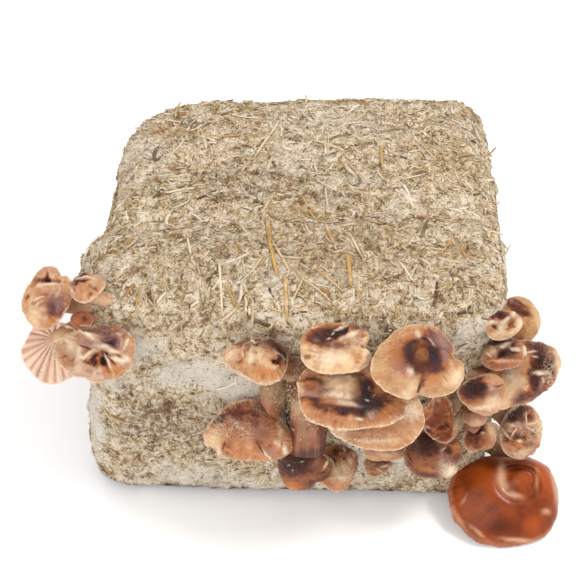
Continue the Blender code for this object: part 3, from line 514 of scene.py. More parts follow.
                 (113, 362, 5, 1.2, -45, 0.9, -1), (122, 335, 6, 3, -40, 0.6, 0)),
        "mauve": ((108, 333, 20, 6, -12, 0.45, 0), (86, 342, 9, 5, -20, 0.75, -0.4),
                  (103, 339, 10, 1.8, -5, 0.8, 1), (72, 352, 8, 6, -20, 0.4, 0),
                  (120, 343, 6, 4, 60, 0.8, 0), (92, 371, 9, 2, -10, 0.8, 0.3),
                  (63, 328, 10, 5, 55, 0.6, 0)),
        "orange": ((118, 329, 6, 2, -30, 0.6, 0), (105, 370, 5, 3, 0, 0.9, 0),
                   (116, 370, 7, 6, -10, 0.85, 0.3), (131, 342, 11, 4, 95, 0.9, 0)),
        "gold": ((98, 363, 6, 1.3, 75, 0.9, 1), (112, 374, 6, 4, 0, 0.4, 0), (78, 363, 7, 4, -15, 0.7, 0)),
        "cream": ((70, 344, 12, 8, 110, 0.5, 0),),
        "pale": ((87, 335, 9, 2, -30, 1, 1.6), (85, 327, 6, 1.2, -5, 0.9, 0.6),
                 (103, 346, 9, 2.4, -8, 1, 1.6, -1), (113, 351, 7, 2, -25, 1, 1.2),
                 (88, 354, 9, 2, 35, 0.9, 1.2), (108, 362, 8, 1.3, -65, 1, 1.2),
                 (118, 359, 8, 2, -15, 1, 1), (127, 358, 5, 3, -50, 0.8, 0.3),
                 (126, 343, 6, 1.5, 70, 0.8, 0.5), (63, 329, 8, 1, 58, 0.8, 0.5),
                 (69, 330, 6, 1, 60, 0.6, 0.4)),
    }),
    "left_5": ((170, 94, 64), 0.1, 0.2, {
        "wine": ((84, 319, 6, 5, 30, 0.7, 0),),
        "orange": ((76, 320, 4, 3, 90, 0.7, 0.2),),
        "pale": ((85, 325.5, 5, 1, 0, 0.5, 0),),
    }),
    "foot": ((172, 88, 48), 0, 0.02, {
        "dark": ((511, 467, 17, 4, -3, 1, -0.4), (498, 526, 18, 9, 5, 0.85, 0),
                 (516, 529, 12, 8, 90, 0.5, 0)),
        "brown": ((465, 480, 10, 6, 90, 0.5, 0), (497, 505, 20, 9, 8, 0.5, 0)),
        "orange": ((487, 480, 14, 12, 0, 0.5, 0), (521, 477, 8, 9, 0, 0.4, 0),
                   (545, 470, 26, 10, 105, 0.8, 0), (535, 522, 12, 8, 30, 0.6, 0)),
        "pale": ((556, 490, 26, 3, 100, 0.5, 0), (456, 515, 16, 2, -55, 0.5, 0),
                 (518, 540, 16, 2, -5, 0.8, 0.3), (546, 512, 4, 3, 0, 0.6, 0),
                 # the pale strokes at (502, 480), (514, 495) and (537, 480) are a painted highlight, the
                 # C-shaped reflection round the knob; the other pale strokes are its pale rim
                 (502, 480, 15, 4.5, 100, 0.7, 0, -2), (514, 495, 9, 3.5, -20, 0.65, 0),
                 (537, 480, 12, 2, 90, 0.35, 0), (478, 532, 12, 1.5, -40, 0.6, 0.3),
                 (464, 500, 6, 1.5, 60, 0.3, 0)),
    }),
}

# How far each tint burns the skin towards black; the others lie over it
BURNS = {"brown": 0.5, "wine": 0.68, "dark": 0.95, "ink": 0.95}
TINTS = ("ink", "mauve", "orange", "gold", "cream", "crackle", "pale")
# Points round and rings of a cap's skin, for caps whose half size in mm reaches LARGE_FROM and for small ones,
# the share of a large cap's gills that a small one has, and the rings round a rim
LARGE_FROM = 13
LARGE_GRID = (270, 44)
SMALL_GRID = (160, 26)
SMALL_GILLS = 0.65
RIM_STEPS = 9
# Rings and sides of a stem's skin, and the tints that its marks lay on
STEM_GRID = (40, 48)
STEM_TINTS = ("dark", "brown", "pale")

# Layers of smooth noise: (height, size of a lump, seed after the surface's own)
BLOCK_LUMPS = ((1.1, 15, 7), (0.9, 7, 8))
MARK_EDGE = ((1, 3, 0), (0.5, 1.1, 1))
RIM_WOBBLE = ((0.02, 1, 0), (0.012, 0.4, 1))
CAP_WRINKLES = ((0.45, 1, 2), (0.3, 0.42, 3))
# Shares of a cap's radius between which its gills end and its rim begins
GILL_ENDS = (0.9, 0.99)
RIM_SPAN = (0.8, 1)
# Height of the gills in mm, and the deepest and highest fold that a cap's material still tells apart, painting
# shade in its folds and light on its crests
GILL_HEIGHT = 0.55
FOLD_SPAN = (-2, 2)
# Widest ragged edge of a mark in pixels, and the widest as a share of the mark's width
EDGE_MOST = 1.1
EDGE_SHARE = 0.3

# Marks of the stems, as those of the caps
STEM_MARKS = {
    "front_7": {
        "dark": ((310, 454, 30, 9, 8, 0.62, 0), (318, 421, 10, 5, 0, 0.75, 0),
                 # the dark line at (288, 425) down the left edge is painted shadow of the gap beside front_6
                 (288, 425, 34, 3, 90, 0.9, 0)),
        "brown": ((326, 432, 30, 10, 95, 0.95, 0), (300, 388, 24, 14, 0, 0.8, 0),
                  (292, 440, 24, 5, 90, 0.8, 0), (303, 432, 22, 16, 90, 0.45, 0)),
        "pale": ((303, 430, 14, 6, 90, 0.35, 0),),
    },
    "front_6": {
        "brown": ((268, 392, 24, 16, 0, 0.3, 0),),
        # the dark line at (289, 400) is painted shadow of the gap between front_6 and front_7
        "dark": ((289, 400, 26, 3, 88, 0.9, 0),),
    },
    "front_1": {"dark": ((292, 360, 12, 5, 0, 0.5, 0),)},
    "left_1": {"pale": ((96, 312, 24, 16, 0, 0.55, 0),)},
    "left_2": {"pale": ((100, 304, 22, 16, 0, 0.5, 0),)},
    "left_3": {"pale": ((68, 342, 24, 18, 0, 0.7, 0),)},
    "left_5": {"pale": ((104, 324, 12, 10, 0, 0.5, 0),)},
}

BLOCK_TINTS = ("white", "shade", "ochre")
# Patches of the block's skin: (tint, middle, reach, strength), middle and reach in mm across, deep and up
BLOCK_PATCHES = (
    ("white", (-86, -104, 125), (17, 12, 10), 0.8), ("white", (-55, -104, 106), (26, 12, 13), 1),
    ("white", (-36, -104, 98), (18, 12, 16), 1), ("white", (-98, -100, 100), (12, 12, 12), 0.6),
    ("white", (30, -104, 40), (26, 12, 22), 0.75), ("white", (62, -104, 46), (22, 12, 26), 0.7),
    ("white", (-72, -104, 20), (44, 12, 12), 0.45), ("white", (0, -104, 14), (60, 12, 9), 0.5),
    ("white", (98, -98, 140), (20, 20, 14), 0.5), ("white", (118, -60, 130), (9, 40, 26), 0.5),
    ("white", (64, -18, 166), (14, 13, 8), 0.5), ("white", (44, 0, 166), (16, 6, 8), 0.4),
    ("white", (-2, 20, 166), (14, 20, 8), 0.4), ("white", (-90, 30, 163), (22, 30, 12), 0.4),
    ("white", (20, 60, 166), (50, 22, 10), 0.35), ("white", (-104, -76, 158), (14, 12, 10), 0.35),
    ("white", (-121, -94, 72), (12, 18, 54), 1), ("white", (-10, -80, 163), (9, 12, 8), 0.6),
    ("white", (-20, -104, 150), (12, 9, 7), 0.7), ("white", (124, 20, 70), (12, 60, 30), 0.5),
    ("white", (-124, 30, 60), (14, 50, 34), 0.5), ("white", (-20, 104, 90), (60, 14, 34), 0.5),
    ("white", (70, 104, 40), (40, 14, 24), 0.4), ("shade", (-30, -12, 166), (22, 5, 8), 0.9),
    ("shade", (18, -14, 166), (26, 7, 8), 0.6), ("shade", (-58, -104, 146), (32, 12, 9), 0.7),
    ("shade", (-80, -104, 66), (30, 12, 24), 1), ("shade", (-50, -104, 52), (24, 12, 14), 0.6),
    ("shade", (-92, -104, 94), (10, 10, 10), 0.7), ("white", (-60, -104, 14), (60, 12, 12), 0.6),
    ("shade", (56, -5, 166), (9, 1.6, 8), 0.9), ("shade", (-52, 1, 166), (3, 2.4, 8), 0.9),
    ("shade", (-26, -9, 166), (7, 4, 8), 0.9), ("shade", (-29, 38, 166), (2.4, 2, 8), 1),
    ("shade", (-84, -5, 166), (3, 2.4, 8), 0.8), ("shade", (104, -90, 120), (12, 18, 26), 0.6),
    ("shade", (-6, -70, 164), (6, 22, 8), 0.35), ("shade", (-60, -96, 160), (30, 8, 8), 0.4),
    ("shade", (-20, 2, 165), (62, 13, 8), 0.4), ("shade", (4, -62, 164), (112, 34, 10), 0.36),
    ("shade", (36, -34, 165), (34, 12, 8), 0.35), ("shade", (-24, 8, 166), (6, 3, 8), 1),
    ("shade", (-11, 10, 166), (5, 2, 8), 1), ("shade", (20, 30, 120), (120, 120, 6), 0.15),
    ("ochre", (8, -26, 166), (20, 9, 8), 0.8), ("ochre", (30, -60, 166), (40, 26, 8), 0.45),
    ("ochre", (-80, 52, 163), (12, 8, 8), 0.6), ("ochre", (90, 20, 163), (22, 30, 8), 0.4),
    ("ochre", (-56, -104, 152), (26, 12, 8), 0.4), ("ochre", (86, -60, 163), (14, 14, 8), 0.5),
)


def smooth_step(value, low, high):
    """A value taken smoothly from 0 at low to 1 at high."""
    share = np.clip((value - low) / (high - low), 0, 1)
    return share * share * (3 - 2 * share)


def hump(value, middle, width):
    """A bell of height 1 about a middle."""
    return np.exp(-(((value - middle) / width) ** 2))


def linear(colour):
    """An 0 to 255 display colour as the shader's own linear colour."""
    shares = [c / 255 for c in colour]
    return tuple(s / 12.92 if s <= 0.04045 else ((s + 0.055) / 1.055) ** 2.4 for s in shares)


def toned(colour, shares):
    """A colour with each of its parts taken to a share."""
    return tuple(c * s for c, s in zip(colour, shares))


def cell_values(cells, seed):
    """A fixed value from 0 to 1 for each whole-numbered cell, from large odd steps that scramble its bits."""
    mixed = cells[:, 0] * 73856093 ^ cells[:, 1] * 19349663 ^ cells[:, 2] * 83492791 ^ seed * 26544357
    for shift, step in ((13, 1274126177), (15, 668265263)):
        mixed = (mixed ^ (mixed >> shift)) * step & 0xFFFFFFFF
    return ((mixed >> 8) & 0xFFFF) / 0xFFFF


def lumps(points, size, seed=0):
    """Smooth noise from -1 to 1 whose lumps have this size."""
    place = points / size + 100
    cells = np.floor(place).astype(np.int64)
    part = place - cells
    part = part * part * (3 - 2 * part)
    total = np.zeros(len(points))
    for corner in itertools.product((0, 1), repeat=3):
        weight = np.prod(np.where(corner, part, 1 - part), axis=1)
        total += weight * cell_values(cells + corner, seed)
    return 2 * total - 1


def layered(points, layers, seed):
    """The sum of layers of smooth noise."""
    return sum(height * lumps(points, size, seed + step) for height, size, step in layers)


def drift(points, reach, size, seed):
    """Smooth noise in each direction, by which places are shifted to make an edge uneven."""
    return reach * np.stack([lumps(points, size, seed + step) for step in range(3)], axis=1)


def block_skin(shares):
    """The pressed block's skin in mm, for points of a cube from -1 to 1, as in the part's source."""
    half = BLOCK_SIZE / 2
    rounding = np.where(shares[:, 2:] > 0, TOP_ROUNDING, FOOT_ROUNDING)
    flat = np.sign(shares) * (1 - (1 - np.abs(shares)) ** EDGE_CROWDING) * half
    inner = np.clip(flat, rounding - half, half - rounding)
    away = (flat - inner) / rounding
    away /= np.linalg.norm(away, axis=1)[:, None]
    point = inner + away * rounding
    across, along, up = (point / half).T
    left, right, front = np.maximum(0, -across), np.maximum(0, across), np.maximum(0, -along)
    over = smooth_step(up, 0, 1)
    swell = np.array([noise.noise(Vector(p) / LUMP_SIZE) for p in point])
    point += away * (LUMP_HEIGHT * swell * smooth_step(up, -1, -0.5))[:, None]
    x, y, z = point.T
    y = y * (1 + SKEW * across)
    x = x + SHEAR * along
    y = y - FRONT_BULGE * front**2 * (1 - across**2) * (1 - up**2)
    x = x + RIGHT_BULGE * right * (1 - along**2)
    x = x + LEFT_STEP * left * smooth_step(along, -0.54, -0.18) * smooth_step(up, -0.8, 0.8)
    x = x - LEFT_FLARE * left * hump(up, -0.6, 0.45)
    slack = smooth_step(-across, 0.55, 1) * smooth_step(along, 0.55, 1) * over
    x, y, z = (c + s * slack for c, s in zip((x, y, z), SLACK_CORNER))
    seam = SEAM_PLACE + SEAM_WANDER * np.sin(2.2 * across + 0.6)
    z = z + over * TOP_CROWN * (1 - across**2) * (1 - along**2)
    z = z - over * TOP_FRONT_DROP * smooth_step(front, 0.62, 1)
    z = z - over * SEAM_DEPTH * hump(y, seam, SEAM_WIDTH)
    return np.stack((x, y, z + BLOCK_SIZE[2] / 2), axis=1)


def box_shell(cells):
    """Corner points, from -1 to 1, and outward quads of a cube with a grid on each side."""
    sides = []
    for axis in range(3):
        u, v = (axis + 1) % 3, (axis + 2) % 3
        grids = np.meshgrid(np.arange(cells[u]), np.arange(cells[v]), indexing="ij")
        grid_u, grid_v = (grid.ravel() for grid in grids)
        for end, ring in ((0, ((0, 0), (0, 1), (1, 1), (1, 0))), (1, ((0, 0), (1, 0), (1, 1), (0, 1)))):
            quads = np.zeros((len(grid_u), 4, 3), int)
            for corner, (step_u, step_v) in enumerate(ring):
                quads[:, corner, u] = grid_u + step_u
                quads[:, corner, v] = grid_v + step_v
            quads[:, :, axis] = end * cells[axis]
            sides.append(quads.reshape(-1, 3))
    points, places = np.unique(np.concatenate(sides), axis=0, return_inverse=True)
    return points / np.array(cells) * 2 - 1, places.reshape(-1, 4)


def new_mesh(name, points, faces):
    """A smooth mesh from points in millimetres."""
    mesh = bpy.data.meshes.new(name)
    mesh.from_pydata((np.asarray(points) * MM).tolist(), [], [list(map(int, f)) for f in faces])
    mesh.shade_smooth()
    return mesh


def vectors(layer, name):
    """One direction or place for each entry of a mesh's layer."""
    flat = np.empty(len(layer) * 3, np.float32)
    layer.foreach_get(name, flat)
    return flat.reshape(-1, 3).astype(float)


def mesh_points(mesh):
    return vectors(mesh.vertices, "co") / MM


def mesh_normals(mesh):
    return vectors(mesh.vertex_normals, "vector")


def set_points(mesh, points):
    mesh.vertices.foreach_set("co", (points * MM).astype(np.float32).ravel())
    mesh.update()


def store(mesh, name, values):
    """Keeps one value, or one direction, for each point of a mesh under a name that materials read."""
    kind = "FLOAT" if np.ndim(values) == 1 else "FLOAT_VECTOR"
    layer = mesh.attributes.new(name, kind, "POINT")
    layer.data.foreach_set("value" if kind == "FLOAT" else "vector", np.asarray(values, np.float32).ravel())


def stored(mesh, name):
    """The single values kept under a name for the points of a mesh."""
    values = np.empty(len(mesh.vertices), np.float32)
    mesh.attributes[name].data.foreach_get("value", values)
    return values


def add_piece(name, mesh, material, replaced=()):
    """A finished piece that rides on the block."""
    piece = bpy.data.objects.new(name, mesh)
    mesh.materials.clear()
    mesh.materials.append(material)
    bpy.context.scene.collection.objects.link(piece)
    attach(piece, "root")
    if replaced:
        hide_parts(*replaced)


def evaluated_mesh(source):
    """The mesh that an object's modifiers make."""
    bpy.context.view_layer.update()
    return bpy.data.meshes.new_from_object(source.evaluated_get(bpy.context.evaluated_depsgraph_get()))


class Nodes:
    """Adds and links nodes of one tree."""

    def __init__(self, tree):
        self.tree = tree

    def add(self, kind, **settings):
        node = self.tree.nodes.new(kind)
        for name, value in settings.items():
            setattr(node, name, value)
        return node

    def feed(self, socket, value):
        if isinstance(value, bpy.types.NodeSocket):
            self.tree.links.new(value, socket)
        elif value is not None:
            socket.default_value = (*value, 1) if socket.type == "RGBA" and len(value) == 3 else value

    def fill(self, node, **values):
        """Feeds a node's inputs by their names, written with _ for a space."""
        for name, value in values.items():
            self.feed(node.inputs[name.replace("_", " ")], value)
        return node

    def math(self, operation, first, second=None, third=None, clamp=False):
        node = self.add("ShaderNodeMath", operation=operation, use_clamp=clamp)
        for socket, value in zip(node.inputs, (first, second, third)):
            self.feed(socket, value)
        return node.outputs[0]

    def times(self, first, second):
        return self.math("MULTIPLY", first, second)

    def mix(self, share, first, second, blend="MIX"):
        """Colours mixed by a share."""
        node = self.add("ShaderNodeMix", data_type="RGBA", blend_type=blend)
        self.feed(node.inputs["Factor"], share)
        self.feed(node.inputs[6], first)
        self.feed(node.inputs[7], second)
        return node.outputs[2]

    def tint(self, colour, value, low, high, share, tone):
        """A colour taken up to a share towards a tone where a value runs from low to high."""
        return self.mix(self.ramp(value, low, high, 0, share), colour, tone)

    def roughened(self, value, pattern, strength):
        """A value with a pattern about a half laid over it."""
        return self.math("MULTIPLY_ADD", self.math("SUBTRACT", pattern, 0.5), strength, value)

    def ramp(self, value, low, high, start=0.0, end=1.0):
        """A value spread smoothly from start to end between low and high."""
        node = self.add("ShaderNodeMapRange", interpolation_type="SMOOTHSTEP")
        for socket, number in zip(node.inputs, (value, low, high, start, end)):
            self.feed(socket, number)
        return node.outputs[0]

    def colour_ramp(self, value, stops):
        node = self.add("ShaderNodeValToRGB")
        while len(node.color_ramp.elements) < len(stops):
            node.color_ramp.elements.new(1)
        for element, (place, colour) in zip(node.color_ramp.elements, stops):
            element.position = place
            element.color = (*colour, 1)
        self.feed(node.inputs[0], value)
        return node.outputs[0]

    def spots(self, vector, scale, detail=2.0, roughness=0.5):
        """Noise with this many lumps to the metre."""
        node = self.add("ShaderNodeTexNoise")
        return self.fill(node, Vector=vector, Scale=scale, Detail=detail, Roughness=roughness).outputs[0]

    def cell_edges(self, vector, scale):
        """How far a place is from the edges of ragged cells."""
        node = self.add("ShaderNodeTexVoronoi", feature="DISTANCE_TO_EDGE")
        return self.fill(node, Vector=vector, Scale=scale).outputs["Distance"]

    def colour_noise(self, vector, scale):
        """Noise as three values about a half."""
        return self.fill(self.add("ShaderNodeTexNoise"), Vector=vector, Scale=scale).outputs["Color"]

    def scaled(self, vector, sizes):
        node = self.add("ShaderNodeVectorMath", operation="MULTIPLY")
        self.feed(node.inputs[0], vector)
        self.feed(node.inputs[1], sizes)
        return node.outputs[0]

    def attribute(self, name, output="Fac"):
        return self.add("ShaderNodeAttribute", attribute_name=name).outputs[output]

    def shaded_by_crowding(self, colour):
        """A colour darkened where the caps crowd together: painted shade between the caps."""
        share = self.ramp(self.attribute("crowd"), 0.14, 0.65, 0, 0.75)
        return self.mix(share, colour, (0.3, 0.14, 0.08), "MULTIPLY")

    def gilled(self, colour, dark, light):
        """A cap's colour on its top, with gills below between a dark and a light one: painted shade between
        the gills and painted light on their edges.
        """
        under = self.mix(self.ramp(self.attribute("rib"), -0.7, 0.7), dark, light)
        return self.mix(self.attribute("over"), under, colour)

    def place(self):
        return self.add("ShaderNodeTexCoord").outputs["Object"]

    def bump(self, height, distance, strength):
        node = self.add("ShaderNodeBump")
        return self.fill(node, Height=height, Distance=distance, Strength=strength).outputs[0]


def new_material(name):
    """A material with its nodes, and its shader."""
    made = bpy.data.materials.new(name)
    made.use_nodes = True
    return made, Nodes(made.node_tree), made.node_tree.nodes["Principled BSDF"]


# Fixed colours of the materials; those that a user may want to change are settings
TONES = {name: linear(colour) for name, colour in {
    "damp straw": (154, 126, 96), "bleached straw": (228, 218, 202), "rosy straw": (216, 186, 160),
    "olive straw": (184, 166, 132), "speck": (104, 74, 52), "pit": (84, 60, 42), "bare patch": (116, 86, 60),
    "foot line and contact shadow": (84, 42, 34), "black straw": (60, 42, 28), "brown straw": (122, 96, 64),
    "green straw": (174, 152, 102), "tan straw": (214, 188, 156), "pale straw": (226, 214, 194),
    "golden straw": (188, 152, 88), "amber straw": (158, 108, 60), "straw vein": (140, 112, 78),
    "dusty straw": (226, 214, 196), "dull straw": (158, 134, 92), "stain": (74, 52, 34),
    "shaded straw": (92, 68, 48), "stem fibre": (144, 88, 56), "stem dust": (186, 154, 118),
    # pale gill and light amber gill are painted light on the gills' edges, amber gill painted shade between
    # them
    "pale gill": (252, 220, 196), "deep amber": (106, 44, 12), "clear amber": (142, 62, 18),
    "amber streak": (96, 36, 10), "amber rim": (206, 140, 100), "amber gill": (120, 66, 40),
    "light amber gill": (214, 160, 118),
}.items()}
# Tones of the wet cap's marks; the pale one is also the painted highlight round its knob
WET_TINTS = {"orange": linear((170, 78, 22)), "burn": linear((50, 14, 8)), "pale": linear((226, 178, 140))}


def colour_setting(name, description, colour):
    return FloatVectorProperty(
        name=name, description=description, subtype="COLOR", size=3, min=0, max=1, default=linear(colour),
    )


def count_setting(name, things, count):
    return FloatProperty(name=name, description=f"{things} on a square metre of skin", default=count, min=0)


def light_setting(name, description, strength, unit="NONE"):
    return FloatProperty(name=name, description=description, default=strength, min=0, unit=unit)


class GrowBlockSubstrate(bpy.types.PropertyGroup):
    relief: FloatProperty(
        name="Relief", description="Height of the lumps in the pressed skin", default=1.0, min=0, max=3,
    )
    straw_colour: colour_setting("Straw", "Middle colour of the pressed straw", (196, 176, 142))
    gap_colour: colour_setting("Gaps", "Colour between the pieces of straw", (88, 66, 44))
    sawdust_colour: colour_setting("Sawdust", "Colour of the palest dust and chips", (220, 204, 178))
    ochre_colour: colour_setting("Ochre straw", "Colour of the yellow stalks", (182, 142, 82))
    mycelium_colour: colour_setting("Mycelium", "Colour of the white growth over the straw", (220, 211, 198))


class GrowBlockStraw(bpy.types.PropertyGroup):
    fibre_length: FloatProperty(
        name="Fibre length", description="Longest of the fine fibres",
        default=0.009, min=0.002, unit="LENGTH",
    )
    fibre_width: FloatProperty(
        name="Fibre width", description="Widest of the fine fibres",
        default=0.0009, min=0.0002, unit="LENGTH",
    )
    fibre_count: count_setting("Fibres", "Fine fibres", 150000)
    stalk_count: count_setting("Stalks", "Wide stalks", 2600)
    chip_count: count_setting("Chips", "Short flat chips of straw", 44000)
    crumb_count: count_setting("Crumbs", "Crumbs of bran and wood", 16000)
    seed: IntProperty(name="Seed", description="Start of the random places", default=5, min=0)


class GrowBlockMushrooms(bpy.types.PropertyGroup):
    dark: colour_setting("Dark", "Almost black middle of an old cap", (50, 26, 24))
    ink: colour_setting("Ink", "Bluish black bruise round a cap's middle", (46, 42, 58))
    amber: colour_setting("Amber", "Orange-brown halo of a dark zone", (164, 98, 56))
    brown: colour_setting("Brown", "Red-brown zone of a cap", (106, 52, 34))
    mauve: colour_setting("Mauve", "Greyed lilac zone of a cap", (160, 118, 110))
    orange: colour_setting("Orange", "Orange zone towards a rim", (194, 120, 62))
    gold: colour_setting("Gold", "Golden middle of the large cap", (158, 96, 42))
    gold_rim: colour_setting("Golden rim", "Golden tan inside the pale rim", (212, 152, 92))
    cream: colour_setting("Cream", "Broad light zones of a cap", (230, 196, 156))
    pale: colour_setting("Pale", "Cream growing rim and scales", (242, 218, 188))
    stem_colour: colour_setting("Stem", "Main colour of the stems", (180, 126, 96))
    gills: IntProperty(name="Gills", description="Gills under a large cap", default=54, min=8)
    wrinkle: FloatProperty(
        name="Wrinkles", description="Height of the wrinkles in a cap's skin", default=1.0, min=0, max=3,
    )


class GrowBlockStage(bpy.types.PropertyGroup):
    floor_colour: colour_setting("Floor", "Colour of the plain floor", (250, 251, 252))
    sky_strength: light_setting("Soft light", "Strength of the even light", 0.96)
    key_power: light_setting("Key light", "Power of the large lamp", 6.5, "POWER")
    fill_power: light_setting("Fill light", "Power of the front lamp", 10, "POWER")


def area_lamp(name, power):
    place, size, colour = LAMPS[name]
    lamp = bpy.data.lights.new(name, "AREA")
    lamp.shape = "RECTANGLE"
    lamp.size, lamp.size_y = size
    lamp.energy = power
    lamp.color = colour
    stand = bpy.data.objects.new(name, lamp)
    stand.location = place
    stand.rotation_euler = (Vector(LAMP_AIM) - Vector(place)).to_track_quat("-Z", "Y").to_euler()
    bpy.context.scene.collection.objects.link(stand)


class GROWBLOCK_OT_stage(bpy.types.Operator):
    """Makes the floor, the soft lights and the camera at the photograph's angle"""

    bl_idname = "growblock.stage"
    bl_label = "Stage"

    def execute(self, context):
        scene = context.scene
        settings = scene.grow_block_stage
        floor_mesh = bpy.data.meshes.new("floor")
        corners = [(x * FLOOR_HALF, y * FLOOR_HALF, 0) for x, y in ((-1, -1), (1, -1), (1, 1), (-1, 1))]
        floor_mesh.from_pydata(corners, [], [(0, 1, 2, 3)])
        material, nodes, shader = new_material("stage_floor")
        nodes.fill(shader, Base_Color=settings.floor_colour, Roughness=0.6, Specular_IOR_Level=0.1)
        floor_mesh.materials.append(material)
        floor = bpy.data.objects.new("floor", floor_mesh)
        scene.collection.objects.link(floor)
        world = bpy.data.worlds.new("soft_studio")
        world.use_nodes = True
        sky = world.node_tree.nodes["Background"]
        sky.inputs["Color"].default_value = (1, 1, 1, 1)
        sky.inputs["Strength"].default_value = settings.sky_strength
        scene.world = world
        area_lamp("key", settings.key_power)
        area_lamp("fill", settings.fill_power)
        lens = bpy.data.cameras.new("camera")
        lens.sensor_width = CAMERA_SENSOR
        lens.lens = CAMERA_LENS
        lens.clip_start, lens.clip_end = 0.01, 50
        camera = bpy.data.objects.new("camera", lens)
        camera.location = CAMERA_PLACE
        camera.rotation_euler = (math.radians(90 - CAMERA_DOWN), 0, 0)
        scene.collection.objects.link(camera)
        scene.camera = camera
        scene.view_settings.view_transform = "Standard"
        return {"FINISHED"}


def patch_mask(points, tint):
    """How much of a tint lies on each point of the block, from 0 to 1, with ragged edges."""
    warped = points + drift(points, 5, 11, 1) + drift(points, 2, 4, 4)
    share = np.zeros(len(points))
    for kind, middle, reach, strength in BLOCK_PATCHES:
        if kind == tint:
            off = np.linalg.norm((warped - middle) / reach, axis=1)
            share = np.maximum(share, strength * np.exp(-(off**4)))
    return share


def substrate_material(settings):
    """Pressed straw and sawdust, white where the mycelium covers it and brown where it is bare, with a dark
    line along its foot that is partly its reddish brown and partly painted contact shadow.
    """
    material, nodes, shader = new_material("pressed_straw")
    place = nodes.place()
    shade = nodes.attribute("shade")
    grain = nodes.spots(place, 420, 6, 0.72)
    patchy = nodes.spots(place, 110, 4, 0.65)
    blend = nodes.math("MULTIPLY_ADD", patchy, 0.45, nodes.times(grain, 0.55))
    colour = nodes.colour_ramp(blend, (
        (0.4, settings.gap_colour), (0.45, TONES["damp straw"]), (0.49, settings.straw_colour),
        (0.535, settings.sawdust_colour), (0.6, TONES["bleached straw"]),
    ))
    hue = nodes.spots(place, 150, 3, 0.6)
    colour = nodes.tint(colour, hue, 0.55, 0.66, 0.5, TONES["rosy straw"])
    colour = nodes.tint(colour, hue, 0.46, 0.36, 0.35, TONES["olive straw"])
    ochre = nodes.times(nodes.attribute("ochre"), nodes.ramp(nodes.spots(place, 260, 3), 0.35, 0.6))
    colour = nodes.mix(nodes.times(ochre, 0.8), colour, settings.ochre_colour)
    stretched = nodes.spots(nodes.scaled(place, (0.6, 1, 1.5)), 300, 5, 0.7)
    ragged = nodes.roughened(nodes.attribute("white"), stretched, 1.9)
    colour = nodes.tint(colour, ragged, 0.1, 0.85, 0.8, settings.mycelium_colour)
    specks = nodes.spots(nodes.scaled(place, (1, 1, 2)), 620, 3)
    colour = nodes.tint(colour, specks, 0.6, 0.68, 0.8, TONES["speck"])
    pits = nodes.math("MULTIPLY_ADD", shade, -0.13, nodes.spots(place, 240, 4, 0.65))
    colour = nodes.tint(colour, pits, 0.4, 0.3, 0.7, TONES["pit"])
    browner = nodes.times(shade, nodes.ramp(grain, 0.4, 0.56, 0.85, 0.2))
    colour = nodes.mix(browner, colour, TONES["bare patch"])
    apart = nodes.add("ShaderNodeSeparateXYZ")
    nodes.feed(apart.inputs[0], place)
    foot = nodes.roughened(apart.outputs[2], patchy, 0.02)
    # dark line along the block's foot: partly its reddish brown, partly painted contact shadow
    colour = nodes.tint(colour, foot, 0.01, 0.004, 0.95, TONES["foot line and contact shadow"])
    height = nodes.math("ADD", grain, nodes.times(nodes.spots(place, 1300, 3), 0.5))
    normal = nodes.bump(height, 0.0018, 1)
    nodes.fill(shader, Base_Color=colour, Roughness=0.9, Specular_IOR_Level=0.2, Normal=normal)
    return material


class GROWBLOCK_OT_substrate(bpy.types.Operator):
    """Makes the pressed block's lumpy skin with its white growth, dark pits and ochre patches"""

    bl_idname = "growblock.substrate"
    bl_label = "Pressed block"

    def execute(self, context):
        settings = context.scene.grow_block_substrate
        shares, quads = box_shell(BLOCK_CELLS)
        points = block_skin(shares)
        mesh = new_mesh("substrate", points, quads)
        masks = {tint: patch_mask(points, tint) for tint in BLOCK_TINTS}
        relief = layered(points, BLOCK_LUMPS, 0)
        fine = 0.75 * lumps(points, 3.4, 9) + 0.5 * lumps(points * (1, 0.4, 1), 2.2, 10)
        relief += fine * (1 - 0.5 * masks["white"]) - 1.6 * masks["shade"] + 0.7 * masks["white"]
        relief -= 2.2 * smooth_step(lumps(points, 9, 11), 0.45, 0.9)
        relief *= settings.relief * smooth_step(points[:, 2], 1, 9)
        set_points(mesh, points + mesh_normals(mesh) * relief[:, None])
        for tint, mask in masks.items():
            store(mesh, tint, mask)
        add_piece("substrate", mesh, substrate_material(settings), ["substrate_block"])
        return {"FINISHED"}


def tube_mesh(name, sections):
    """A closed bar through rings of points of equal number, with a point at each end."""
    rings = np.array(sections[1:-1])
    count, sides = rings.shape[:2]
    points = [sections[0], *rings.reshape(-1, 3), sections[-1]]
    faces = []
    for side in range(sides):
        after = (side + 1) % sides
        faces.append((0, 1 + after, 1 + side))
        for ring in range(count - 1):
            start = 1 + ring * sides
            faces.append((start + side, start + after, start + sides + after, start + sides + side))
        last = 1 + (count - 1) * sides
        faces.append((last + side, last + after, len(points) - 1))
    mesh = bpy.data.meshes.new(name)
    mesh.from_pydata(points, [], faces)
    sheet = bmesh.new()
    sheet.from_mesh(mesh)
    bmesh.ops.recalc_face_normals(sheet, faces=sheet.faces[:])
    sheet.to_mesh(mesh)
    sheet.free()
    mesh.shade_smooth()
    return mesh


